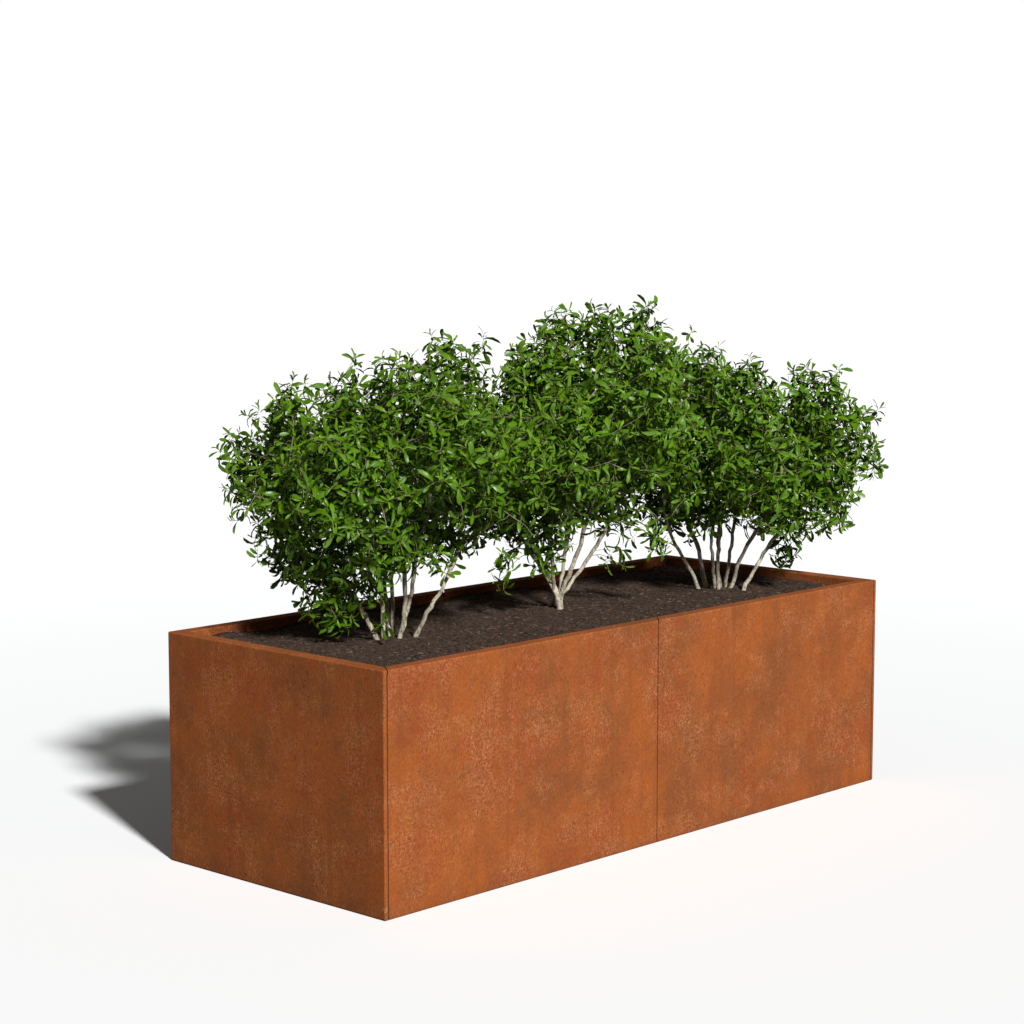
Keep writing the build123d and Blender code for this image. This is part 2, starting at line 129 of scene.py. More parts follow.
class Graph:
    """Adds nodes to one shader tree or one geometry tree."""

    def __init__(self, tree: bpy.types.NodeTree) -> None:
        """Keeps the tree."""
        self.tree = tree

    def node(self, kind: str, settings: dict[str, Any], values: dict[Any, Any], output: Any = 0) -> Wire:
        """Adds one node.

        Args:
            kind: the node's type name.
            settings: what is set on the node itself before its sockets.
            values: a number, colour, name or wire for each input, by name or index.
            output: the name or index of the output that is wanted.

        Returns:
            The wanted output.
        """
        made = self.tree.nodes.new(kind)
        for name, setting in settings.items():
            setattr(made, name, setting)
        for name, value in values.items():
            socket = made.inputs[name]
            if isinstance(value, Wire):
                self.tree.links.new(value.socket, socket)
            elif socket.type == "RGBA":
                socket.default_value = (*value[:3], 1.0)
            elif socket.type == "VECTOR" and not isinstance(value, (tuple, list, Vector)):
                socket.default_value = (value, value, value)
            else:
                socket.default_value = value
        return Wire(self, made.outputs[output])

    def maths(self, operation: str, *terms: Value) -> Wire:
        """Adds a Math node, or a Vector Math node where a term is a vector.

        Args:
            operation: the node's operation.
            terms: its inputs in order.

        Returns:
            The result.
        """
        kinds = {term.socket.type for term in terms if isinstance(term, Wire)}
        if "RGBA" in kinds:
            raise TypeError("colours are mixed with blend(), not with arithmetic")
        kind = "ShaderNodeVectorMath" if "VECTOR" in kinds else "ShaderNodeMath"
        return self.node(kind, {"operation": operation}, dict(enumerate(terms)))

    def blend(self, factor: Value, under: Value, over: Value) -> Wire:
        """Lays one colour over another.

        Args:
            factor: how much of the upper colour shows.
            under: the lower colour.
            over: the upper colour.

        Returns:
            The mixed colour.
        """
        settings = {"data_type": "RGBA", "blend_type": "MIX"}
        return self.node("ShaderNodeMix", settings, {0: factor, 6: under, 7: over}, 2)

    def noise(self, place: Wire, scale: float, detail: float = 4.0, roughness: float = 0.55) -> Wire:
        """Cloudy noise between 0 and 1.

        Args:
            place: the coordinates.
            scale: clouds per metre.
            detail: how many finer layers are added.
            roughness: how strong the finer layers are.

        Returns:
            The noise value.
        """
        values = {"Vector": place, "Scale": scale, "Detail": detail, "Roughness": roughness}
        return self.node("ShaderNodeTexNoise", {}, values, "Fac")

    def cells(self, place: Wire, scale: float, output: str = "Distance") -> Wire:
        """Voronoi cells.

        Args:
            place: the coordinates.
            scale: cells per metre.
            output: which of the node's outputs is wanted.

        Returns:
            The wanted output.
        """
        values = {"Vector": place, "Scale": scale}
        return self.node("ShaderNodeTexVoronoi", {"feature": "F1"}, values, output)

    def ease(self, value: Value, low: float, high: float) -> Wire:
        """A smooth rise from 0, where value is low, to 1, where it is high."""
        settings = {"interpolation_type": "SMOOTHSTEP", "clamp": True}
        return self.node("ShaderNodeMapRange", settings, {0: value, 1: low, 2: high})

    def attribute(self, name: str, output: str = "Fac") -> Wire:
        """A named attribute of the mesh."""
        return self.node("ShaderNodeAttribute", {"attribute_name": name}, {}, output)

    def bump(self, height: Value, depth: float, strength: float = 1.0) -> Wire:
        """A normal bent by a height pattern that is depth metres deep."""
        return self.node("ShaderNodeBump", {}, {"Height": height, "Distance": depth, "Strength": strength})

    def principled(self, **values: Value) -> Wire:
        """A Principled shader; underscores in the names stand for spaces."""
        named = {name.replace("_", " "): value for name, value in values.items()}
        return self.node("ShaderNodeBsdfPrincipled", {}, named)

    def random(self, low: float, high: float, seed: int) -> Wire:
        """A random number for each element of a geometry tree."""
        values = {2: low, 3: high, "Seed": seed}
        return self.node("FunctionNodeRandomValue", {"data_type": "FLOAT"}, values, 1)


# ---------------------------------------------------------------- finishes


@dataclass(frozen=True)
class Finish:
    """A procedural material. Each kind says in paint() how its shader is built."""

    name: str

    def paint(self, graph: Graph, place: Wire) -> Wire:
        """Builds the shader from the object's coordinates and returns it."""
        raise NotImplementedError

    def material(self) -> bpy.types.Material:
        """Makes the material.

        Returns:
            The material, ready for a slot.
        """
        made = bpy.data.materials.new(self.name)
        made.use_nodes = True
        made.node_tree.nodes.clear()
        graph = Graph(made.node_tree)
        place = graph.node("ShaderNodeTexCoord", {}, {}, "Object")
        shader = self.paint(graph, place)
        end = made.node_tree.nodes.new("ShaderNodeOutputMaterial")
        made.node_tree.links.new(shader.socket, end.inputs["Surface"])
        return made


@dataclass(frozen=True)
class RustPatina(Finish):
    """Weathering steel: a matte orange-brown rust skin with clouds, curled pale flecks and rain streaks."""

    orange: Triple = (0.362, 0.087, 0.0125)
    brown: Triple = (0.205, 0.058, 0.015)
    red: Triple = (0.300, 0.053, 0.0075)
    tan: Triple = (0.66, 0.32, 0.14)
    pit: Triple = (0.11, 0.030, 0.009)
    # gap: the dark of the strip along the joints, partly joint dirt and partly painted shade
    gap: Triple = (0.035, 0.014, 0.007)
    cloud_scale: float = 3.4
    patch_scale: float = 5.5
    spread_scale: float = 7.5
    wear_scale: float = 6.0
    streak_scale: float = 30.0
    speck_scale: float = 300.0
    dust_scale: float = 330.0
    grain: float = 135.0
    splash_top: float = 0.07
    joints: tuple[float, ...] = (0.0, 0.988)
    joint_width: float = 0.0022
    outer_face: float = 0.396

    def paint(self, graph: Graph, place: Wire) -> Wire:
        """Clouds first, then red patches, fine grain, curled flecks, pits, rain streaks, and a dark strip
        along the joints that is partly joint dirt and partly painted shade of the groove.

        Args:
            graph: the material's nodes.
            place: the object's coordinates, in metres.

        Returns:
            The shader.
        """
        clouds = graph.ease(graph.noise(place, self.cloud_scale, 9.0, 0.74), 0.40, 0.62)
        colour = graph.blend(clouds * 0.80, self.orange, self.brown)
        patchy = graph.noise(place + (3.0, 7.0, 1.0), self.patch_scale, 9.0, 0.76)
        patches = graph.ease(patchy, 0.48, 0.62)
        colour = graph.blend(patches * 0.80, colour, self.red)
        fine = graph.noise(place * (1.0, 1.0, 0.30), self.speck_scale, 4.0, 0.7)
        colour = graph.blend(graph.ease(fine, 0.44, 0.64) * 0.46, colour, self.pit)
        dust = graph.noise(place * (1.0, 1.0, 0.5) + (8.0, 8.0, 1.0), self.dust_scale, 2.0, 0.7)
        colour = graph.blend(graph.ease(dust, 0.50, 0.68) * 0.10, colour, self.tan)
        upright = place * (1.0, 1.0, 0.7)
        curls = 1.0 - graph.ease(abs(graph.noise(upright, self.grain, 3.0, 0.6) - 0.52), 0.0, 0.050)
        spread = graph.noise(place + (9.0, 2.0, 5.0), self.spread_scale, 8.0, 0.75)
        clusters = graph.ease(patchy * 0.4 + spread * 0.6, 0.46, 0.60)
        dots = graph.ease(graph.noise(upright + (6.0, 1.0, 2.0), self.grain * 1.5, 2.0, 0.6), 0.56, 0.72)
        colour = graph.blend((curls * 0.50 + dots * 0.42) * (clusters * 0.84 + 0.12), colour, self.tan)
        pits = graph.ease(graph.noise(upright + (4.0, 4.0, 4.0), self.grain * 0.7, 4.0, 0.65), 0.56, 0.70)
        worn = graph.ease(graph.noise(place + (1.0, 5.0, 8.0), self.wear_scale, 7.0, 0.7), 0.47, 0.62)
        colour = graph.blend(pits * (worn * 0.6 + 0.12), colour, self.pit)
        rain = graph.noise(place * (1.0, 1.0, 0.06), self.streak_scale, 5.0, 0.65)
        colour = graph.blend(graph.ease(rain, 0.48, 0.66) * 0.36, colour, self.brown)
        height = place.part("Z")
        splash = 1.0 - graph.ease(height + graph.noise(place, 12.0, 3.0) * 0.05, 0.02, self.splash_top)
        colour = graph.blend(splash * 0.22, colour, self.pit)
        # A dark strip along each joint on the outer faces: partly joint dirt, partly painted shade standing in
        # for the groove's shadow.
        outside = graph.ease(abs(place.part("Y")), self.outer_face, self.outer_face + 0.001)
        for joint in self.joints:
            off_joint = abs(abs(place.part("X")) - joint)
            line = 1.0 - graph.ease(off_joint, self.joint_width * 0.35, self.joint_width)
            colour = graph.blend(line * outside * 0.9, colour, self.gap)
        roughness = 0.74 + fine * 0.18
        relief = graph.bump(fine * 0.5 + curls * clusters * 0.5 - pits * 0.5, 0.0008, 0.6)
        return graph.principled(Base_Color=colour, Roughness=roughness, Normal=relief,
                                Specular_IOR_Level=0.25)


@dataclass(frozen=True)
class ZincPlate(Finish):
    """Electroplated zinc: satin, with faint cloudy passivation."""

    bright: Triple = (0.62, 0.63, 0.64)
    cloud: Triple = (0.50, 0.51, 0.46)

    def paint(self, graph: Graph, place: Wire) -> Wire:
        """A metal with a clouded colour and fine tool marks.

        Args:
            graph: the material's nodes.
            place: the object's coordinates, in metres.

        Returns:
            The shader.
        """
        haze = graph.noise(place, 160.0, 4.0)
        colour = graph.blend(graph.ease(haze, 0.4, 0.65), self.bright, self.cloud)
        marks = graph.bump(graph.noise(place, 1800.0, 2.0), 0.0001, 0.4)
        return graph.principled(Base_Color=colour, Metallic=1.0, Roughness=0.28 + haze * 0.2, Normal=marks)


@dataclass(frozen=True)
class WeldedSteel(Finish):
    """Bare steel, dulled and blued near its welds."""

    grey: Triple = (0.33, 0.32, 0.31)
    rust: Triple = (0.22, 0.09, 0.04)

    def paint(self, graph: Graph, place: Wire) -> Wire:
        """A dull metal with blooms of light rust.

        Args:
            graph: the material's nodes.
            place: the object's coordinates, in metres.

        Returns:
            The shader.
        """
        bloom = graph.ease(graph.noise(place, 220.0, 5.0, 0.65), 0.52, 0.66)
        colour = graph.blend(bloom, self.grey, self.rust)
        return graph.principled(Base_Color=colour, Metallic=1.0 - bloom * 0.8, Roughness=0.45 + bloom * 0.35)


@dataclass(frozen=True)
class HotDipZinc(Finish):
    """Hot-dip galvanising: zinc crystals of differing grey, with a dull bloom."""

    pale: Triple = (0.60, 0.62, 0.63)
    dull: Triple = (0.42, 0.44, 0.46)
    spangle: float = 75.0

    def paint(self, graph: Graph, place: Wire) -> Wire:
        """Crystals tinted one by one, under a bloom.

        Args:
            graph: the material's nodes.
            place: the object's coordinates, in metres.

        Returns:
            The shader.
        """
        crystal = graph.cells(place, self.spangle, "Color")
        tint = graph.node("ShaderNodeSeparateColor", {}, {"Color": crystal}, 0)
        bloom = graph.noise(place, 9.0, 5.0, 0.6)
        colour = graph.blend(tint * 0.7 + bloom * 0.3, self.pale, self.dull)
        roughness = 0.34 + tint * 0.12 + bloom * 0.14
        relief = graph.bump(tint + graph.noise(place, 300.0, 2.0), 0.0002, 0.3)
        return graph.principled(Base_Color=colour, Metallic=0.9, Roughness=roughness, Normal=relief)


@dataclass(frozen=True)
class LinerPlastic(Finish):
    """Black polyethylene, slightly waved and dusted with earth."""

    black: Triple = (0.018, 0.018, 0.019)
    dust: Triple = (0.10, 0.075, 0.055)

    def paint(self, graph: Graph, place: Wire) -> Wire:
        """A dark plastic with earth on it in patches.

        Args:
            graph: the material's nodes.
            place: the object's coordinates, in metres.

        Returns:
            The shader.
        """
        dusty = graph.ease(graph.noise(place, 14.0, 6.0, 0.65), 0.5, 0.72)
        colour = graph.blend(dusty * 0.5, self.black, self.dust)
        relief = graph.bump(graph.noise(place, 24.0, 3.0), 0.002, 0.4)
        return graph.principled(Base_Color=colour, Roughness=0.42 + dusty * 0.4, Normal=relief)


@dataclass(frozen=True)
class WashedStone(Finish):
    """Rounded drainage stones, each with its own grey or brown."""

    grey: Triple = (0.36, 0.34, 0.31)
    brown: Triple = (0.27, 0.20, 0.14)
    pale: Triple = (0.62, 0.59, 0.53)

    def paint(self, graph: Graph, place: Wire) -> Wire:
        """A tone for each stone, with veins and grain.

        Args:
            graph: the material's nodes.
            place: the object's coordinates, in metres.

        Returns:
            The shader.
        """
        tone = graph.attribute("tone")
        colour = graph.blend(graph.ease(tone, 0.2, 0.6), self.grey, self.brown)
        colour = graph.blend(graph.ease(tone, 0.75, 0.95), colour, self.pale)
        grain = graph.noise(place, 340.0, 5.0, 0.65)
        colour = graph.blend(graph.ease(grain, 0.45, 0.7) * 0.4, colour, self.pale)
        relief = graph.bump(grain, 0.0006, 0.6)
        return graph.principled(Base_Color=colour, Roughness=0.6 + grain * 0.3, Normal=relief)


@dataclass(frozen=True)
class FilterFelt(Finish):
    """Needle-punched filter felt: pale matted fibres with earth stains."""

    pale: Triple = (0.58, 0.58, 0.55)
    stain: Triple = (0.30, 0.22, 0.15)

    def paint(self, graph: Graph, place: Wire) -> Wire:
        """Crossing fibres, needle holes and stains.

        Args:
            graph: the material's nodes.
            place: the object's coordinates, in metres.

        Returns:
            The shader.
        """
        along = graph.noise(place * (0.12, 1.0, 1.0), 900.0, 3.0)
        across = graph.noise(place * (1.0, 0.12, 1.0), 900.0, 3.0)
        fibres = along * 0.5 + across * 0.5
        stained = graph.ease(graph.noise(place, 8.0, 6.0, 0.62), 0.45, 0.75)
        colour = graph.blend(stained * 0.7, self.pale, self.stain)
        colour = graph.blend(graph.ease(fibres, 0.55, 0.68) * 0.3, colour, (0.8, 0.8, 0.78))
        relief = graph.bump(fibres, 0.0005, 0.7)
        return graph.principled(Base_Color=colour, Roughness=0.85 + fibres * 0.1, Normal=relief)


@dataclass(frozen=True)
class Earth(Finish):
    """Damp planting soil with crumbs, and pale root threads where roots hold it."""

    dark: Triple = (0.030, 0.020, 0.014)
    crumb: Triple = (0.095, 0.064, 0.042)
    root: Triple = (0.34, 0.25, 0.16)
    roots: float = 0.0

    def paint(self, graph: Graph, place: Wire) -> Wire:
        """Crumbs of two sizes, with root threads over them.

        Args:
            graph: the material's nodes.
            place: the object's coordinates, in metres.

        Returns:
            The shader.
        """
        crumbs = graph.cells(place, 130.0)
        lumps = graph.noise(place, 40.0, 6.0, 0.65)
        colour = graph.blend(graph.ease(lumps, 0.35, 0.7), self.dark, self.crumb)
        threads = 1.0 - graph.ease(abs(graph.noise(place, 26.0, 2.0) - 0.5), 0.0, 0.012)
        colour = graph.blend(threads * self.roots, colour, self.root)
        relief = graph.bump(lumps - crumbs + threads * (self.roots * 0.5), 0.003, 0.8)
        return graph.principled(Base_Color=colour, Roughness=0.82 + lumps * 0.15, Normal=relief)


@dataclass(frozen=True)
class BarkCompost(Finish):
    """Fine composted bark: dark brown, streaky, with pale and a few orange splinters."""

    dark: Triple = (0.034, 0.0215, 0.015)
    brown: Triple = (0.083, 0.051, 0.035)
    pale: Triple = (0.21, 0.145, 0.11)
    orange: Triple = (0.24, 0.085, 0.025)

    def paint(self, graph: Graph, place: Wire) -> Wire:
        """Splinters that lie in all directions over a crumbly ground.

        Args:
            graph: the material's nodes.
            place: the object's coordinates, in metres.

        Returns:
            The shader.
        """
        ground = graph.noise(place, 70.0, 6.0, 0.7)
        colour = graph.blend(graph.ease(ground, 0.35, 0.68), self.dark, self.brown)
        along = graph.noise(place * (0.20, 1.0, 1.0), 300.0, 3.0, 0.6)
        across = graph.noise(place * (1.0, 0.28, 1.0) + (5.0, 5.0, 5.0), 330.0, 3.0, 0.6)
        splinters = graph.ease(along, 0.52, 0.70) * 0.7 + graph.ease(across, 0.58, 0.76) * 0.4
        colour = graph.blend(splinters * 0.75, colour, self.pale)
        fresh = graph.ease(graph.noise(place + (2.0, 8.0, 3.0), 150.0, 2.0), 0.70, 0.76)
        colour = graph.blend(fresh * 0.7, colour, self.orange)
        relief = graph.bump(ground * 0.5 + splinters, 0.0025, 0.8)
        return graph.principled(Base_Color=colour, Roughness=0.8 + ground * 0.15, Normal=relief,
                                Specular_IOR_Level=0.15)


@dataclass(frozen=True)
class BarkChip(Finish):
    """Loose bark flakes, each with a brown of its own and a fibrous grain."""

    dark: Triple = (0.036, 0.0225, 0.016)
    brown: Triple = (0.088, 0.054, 0.038)
    pale: Triple = (0.18, 0.125, 0.095)
    orange: Triple = (0.20, 0.080, 0.030)

    def paint(self, graph: Graph, place: Wire) -> Wire:
        """A tone for each flake, with fibres.

        Args:
            graph: the material's nodes.
            place: the object's coordinates, in metres.

        Returns:
            The shader.
        """
        tone = graph.attribute("tone")
        colour = graph.blend(graph.ease(tone, 0.1, 0.7), self.dark, self.brown)
        colour = graph.blend(graph.ease(tone, 0.82, 0.96) * 0.8, colour, self.pale)
        colour = graph.blend(graph.ease(tone, 0.985, 0.99), colour, self.orange)
        fibres = graph.noise(place * (0.4, 1.0, 1.0), 600.0, 4.0, 0.65)
        colour = graph.blend(graph.ease(fibres, 0.4, 0.7) * 0.45, colour, self.dark)
        relief = graph.bump(fibres, 0.0008, 0.7)
        return graph.principled(Base_Color=colour, Roughness=0.75 + fibres * 0.2, Normal=relief,
                                Specular_IOR_Level=0.15)


@dataclass(frozen=True)
class ShrubBark(Finish):
    """Smooth pale grey-brown bark with dark flecks, lengthwise cracks and a greyer, darker young wood."""

    pale: Triple = (0.60, 0.53, 0.40)
    grey: Triple = (0.33, 0.28, 0.205)
    fleck: Triple = (0.085, 0.058, 0.042)
    young: Triple = (0.27, 0.205, 0.15)

    def paint(self, graph: Graph, place: Wire) -> Wire:
        """Patches, cracks along the stem and flecks; thin wood is browner.

        Args:
            graph: the material's nodes.
            place: the object's coordinates, in metres.

        Returns:
            The shader.
        """
        patches = graph.ease(graph.noise(place * (1.0, 1.0, 0.45), 55.0, 5.0, 0.62), 0.38, 0.66)
        colour = graph.blend(patches, self.pale, self.grey)
        cracks = graph.ease(graph.noise(place * (1.0, 1.0, 0.16), 330.0, 4.0, 0.65), 0.57, 0.70)
        flecks = graph.ease(graph.noise(place + (7.0, 1.0, 4.0), 150.0, 4.0, 0.65), 0.53, 0.62)
        colour = graph.blend(cracks * 0.5, colour, self.fleck)
        colour = graph.blend(flecks * 0.8, colour, self.fleck)
        thin = 1.0 - graph.ease(graph.attribute("girth"), 0.0012, 0.0050)
        colour = graph.blend(thin * 0.8, colour, self.young)
        relief = graph.bump(patches * 0.4 - cracks - flecks * 0.4, 0.0014, 0.8)
        return graph.principled(Base_Color=colour, Roughness=0.68 + patches * 0.15, Normal=relief)


class LeafAge(Enum):
    """How long a leaf has been out, or for shade leaves their place deep in the crown, which sets its greens;
    the shade leaves' darker greens are partly painted shade.
    """

    MATURE = "mature"
    YOUNG = "young"
    SHADE = "shade"


@dataclass(frozen=True)
class LeafGreen(Finish):
    """A leathery evergreen leaf: glossy above, paler below, with a light midrib and faint side veins."""

    deep: Triple = (0.055, 0.150, 0.001)
    fresh: Triple = (0.110, 0.240, 0.0012)
    rib: Triple = (0.17, 0.31, 0.014)
    below: Triple = (0.090, 0.185, 0.009)
    glow: Triple = (0.148, 0.316, 0.0018)
    through: float = 0.13

    def paint(self, graph: Graph, place: Wire) -> Wire:
        """Greens by tone, then the midrib and veins, with some light let through.

        Args:
            graph: the material's nodes.
            place: the object's coordinates, in metres.

        Returns:
            The shader.
        """
        flat = graph.attribute("UVMap", "Vector")
        along = flat.part("X")
        off_rib = abs(flat.part("Y") - 0.5)
        tone = graph.attribute("tone")
        colour = graph.blend(tone, self.deep, self.fresh)
        mottle = graph.noise(place, 95.0, 3.0)
        colour = graph.blend(graph.ease(mottle, 0.45, 0.75) * 0.35, colour, self.fresh)
        rib = 1.0 - graph.ease(off_rib, 0.0, 0.045)
        veins = graph.ease((along * 62.0 - off_rib * 46.0).sine(), 0.72, 1.0) * 0.22
        colour = graph.blend(rib * 0.65 + veins, colour, self.rib)
        colour = graph.blend(graph.attribute("underside") * 0.75, colour, self.below)
        roughness = 0.24 + mottle * 0.20 + graph.attribute("underside") * 0.30
        relief = graph.bump(mottle * 0.3 - rib - veins * 2.0, 0.0006, 0.6)
        skin = graph.principled(Base_Color=colour, Roughness=roughness, Normal=relief,
                                Specular_IOR_Level=0.42)
        behind = graph.node("ShaderNodeBsdfTranslucent", {}, {"Color": self.glow})
        return graph.node("ShaderNodeMixShader", {}, {0: self.through, 1: skin, 2: behind})


@dataclass(frozen=True)
class PaleFloor(Finish):
    """A plain pale studio floor."""

    white: Triple = (1.0, 1.0, 1.0)
    bounce: Triple = (0.22, 0.22, 0.22)
    near: float = 1.6
    far: float = 7.0
    # haze: strength of the painted glow of the far floor
    haze: float = 0.12

    def paint(self, graph: Graph, place: Wire) -> Wire:
        """White to look at, but with a weak bounce, so that the shaded sides of things stay dark.

        Args:
            graph: the material's nodes.
            place: the object's coordinates, in metres.

        Returns:
            The shader.
        """
        seen = graph.node("ShaderNodeLightPath", {}, {}, "Is Camera Ray")
        colour = graph.blend(seen, self.bounce, self.white)
        grain = graph.noise(place, 3.0, 2.0)
        # The floor glows more the farther it lies from the middle: a painted glow that makes the far floor
        # white.
        away = graph.node("ShaderNodeVectorMath", {"operation": "LENGTH"}, {0: place}, "Value")
        glow = graph.blend(graph.ease(away, self.near, self.far), (0.0, 0.0, 0.0), (1.0, 1.0, 1.0))
        return graph.principled(Base_Color=colour, Roughness=0.85 + grain * 0.1, Specular_IOR_Level=0.0,
                                Emission_Color=glow, Emission_Strength=self.haze)


# ---------------------------------------------------------------- meshes and geometry trees


def plain_object(name: str, mesh: bpy.types.Mesh) -> bpy.types.Object:
    """Links a mesh into the scene as an object at the origin.

    Args:
        name: the object's name.
        mesh: its mesh.

    Returns:
        The object.
    """
    made = bpy.data.objects.new(name, mesh)
    bpy.context.scene.collection.objects.link(made)
    return made


def mesh_of(name: str, points: np.ndarray, faces: Sequence[Sequence[int]] = (),
            edges: Sequence[Sequence[int]] = ()) -> bpy.types.Mesh:
    """Makes a mesh from points, with faces or with edges alone.

    Args:
        name: the mesh's name.
        points: one row for each point.
        faces: the numbers of each face's points.
        edges: the numbers of each loose edge's points.

    Returns:
        The mesh.
    """
    mesh = bpy.data.meshes.new(name)
    mesh.from_pydata([tuple(map(float, point)) for point in points], [tuple(e) for e in edges], faces)
    mesh.update()
    return mesh


def put_attribute(mesh: bpy.types.Mesh, name: str, kind: str, domain: str, values: np.ndarray) -> None:
    """Stores one value for each element of a mesh.

    Args:
        mesh: the mesh.
        name: the attribute's name.
        kind: FLOAT, INT, FLOAT2 or FLOAT_VECTOR.
        domain: POINT, FACE or CORNER.
        values: the values, in the order of the elements.
    """
    made = mesh.attributes.new(name, kind, domain)
    made.data.foreach_set("value" if kind in ("FLOAT", "INT") else "vector", np.ravel(values))


class GeometryTree(Graph):
    """A geometry tree with named inputs, which runs on a source object and gives a plain mesh."""

    KINDS = {float: "NodeSocketFloat", int: "NodeSocketInt", bpy.types.Object: "NodeSocketObject",
             bpy.types.Material: "NodeSocketMaterial"}

    def __init__(self, name: str, inputs: dict[str, type]) -> None:
        """Makes the tree, its geometry sockets and its named inputs.

        Args:
            name: the tree's name.
            inputs: the type of each input, by its label.
        """
        super().__init__(bpy.data.node_groups.new(name, "GeometryNodeTree"))
        sockets = self.tree.interface
        sockets.new_socket("Geometry", in_out="INPUT", socket_type="NodeSocketGeometry")
        sockets.new_socket("Geometry", in_out="OUTPUT", socket_type="NodeSocketGeometry")
        for label, kind in inputs.items():
            sockets.new_socket(label, in_out="INPUT", socket_type=self.KINDS[kind])
        self.entry = self.tree.nodes.new("NodeGroupInput")

    def given(self, name: str) -> Wire:
        """One of the tree's own inputs."""
        return Wire(self, self.entry.outputs[name])

    def close(self, geometry: Wire, finish: Wire) -> None:
        """Ends the tree in Realize Instances and Set Material.

        Args:
            geometry: what the tree has made.
            finish: the material for all of it.
        """
        real = self.node("GeometryNodeRealizeInstances", {}, {"Geometry": geometry})
        dressed = self.node("GeometryNodeSetMaterial", {}, {"Geometry": real, "Material": finish})
        end = self.tree.nodes.new("NodeGroupOutput")
        self.tree.links.new(dressed.socket, end.inputs[0])

    def turned(self, rotation: Value, euler: Wire) -> Wire:
        """A rotation followed by one more about its own axes.

        Args:
            rotation: the first rotation.
            euler: the angles of the second, in radians.

        Returns:
            The rotation that both make.
        """
        extra = self.node("FunctionNodeEulerToRotation", {}, {"Euler": euler})
        settings = {"rotation_space": "LOCAL"}
        return self.node("FunctionNodeRotateRotation", settings, {"Rotation": rotation, "Rotate By": extra})

    def triple(self, x: Value, y: Value, z: Value) -> Wire:
        """A vector from three numbers."""
        return self.node("ShaderNodeCombineXYZ", {}, {"X": x, "Y": y, "Z": z})

    def run(self, source: bpy.types.Object, name: str, **inputs: Any) -> bpy.types.Mesh:
        """Runs the tree on an object.

        Args:
            source: the object that the tree starts from.
            name: a name for the mesh.
            inputs: a value for each named input; underscores stand for spaces.

        Returns:
            The plain mesh that the tree gives.
        """
        modifier = source.modifiers.new(name, "NODES")
        modifier.node_group = self.tree
        sockets = {item.name: item.identifier for item in self.tree.interface.items_tree
                   if item.in_out == "INPUT"}
        for label, value in inputs.items():
            modifier[sockets[label.replace("_", " ")]] = value
        graph = bpy.context.evaluated_depsgraph_get()
        mesh = bpy.data.meshes.new_from_object(source.evaluated_get(graph), depsgraph=graph)
        mesh.name = name
        source.modifiers.remove(modifier)
        mesh.polygons.foreach_set("material_index", [0] * len(mesh.polygons))
        mesh.materials.clear()
        mesh.materials.append(inputs["Finish"])
        return mesh


FLAKE_STRETCH: tuple[Span, Span, Span] = ((0.6, 1.5), (0.7, 1.2), (0.6, 1.3))
LEAF_WIDTHS: Span = (0.85, 1.15)
LEAF_FOLDS: Span = (0.3, 1.5)
LEAF_SWING = 0.6
LEAF_NOD = 0.42
LEAF_ROLL = 0.75
STEEPEST_BED = 0.5


def scatter_tree() -> GeometryTree:
    """Lays many small pieces flat on the upward faces of a surface, each turned and sized at random.

    Returns:
        The tree.
    """
    tree = GeometryTree("scatter", {"Piece": bpy.types.Object, "Density": float, "Smallest": float,
                                    "Largest": float, "Tilt": float, "Seed": int,
                                    "Finish": bpy.types.Material})
    up = tree.node("GeometryNodeInputNormal", {}, {}, 0).part("Z")
    facing_up = tree.maths("GREATER_THAN", up, STEEPEST_BED)
    points = tree.node("GeometryNodeDistributePointsOnFaces", {"distribute_method": "RANDOM"},
                       {"Mesh": tree.given("Geometry"), "Selection": facing_up,
                        "Density": tree.given("Density"), "Seed": tree.given("Seed")}, "Points")
    piece = tree.node("GeometryNodeObjectInfo", {}, {"Object": tree.given("Piece")}, "Geometry")
    tilt = tree.given("Tilt")
    spin = tree.triple(tree.random(-1.0, 1.0, 11) * tilt, tree.random(-1.0, 1.0, 12) * tilt,
                       tree.random(0.0, math.tau, 13))
    rotation = tree.node("FunctionNodeEulerToRotation", {}, {"Euler": spin})
    range_of_sizes = tree.given("Largest") - tree.given("Smallest")
    size = tree.random(0.0, 1.0, 14) * range_of_sizes + tree.given("Smallest")
    shape = tree.triple(*(size * tree.random(low, high, seed)
                          for seed, (low, high) in enumerate(FLAKE_STRETCH, 15)))
    laid = tree.node("GeometryNodeInstanceOnPoints", {},
                     {"Points": points, "Instance": piece, "Rotation": rotation, "Scale": shape})
    toned = tree.node("GeometryNodeStoreNamedAttribute", {"data_type": "FLOAT", "domain": "INSTANCE"},
                      {"Geometry": laid, "Name": "tone", "Value": tree.random(0.0, 1.0, 18)})
    tree.close(toned, tree.given("Finish"))
    return tree


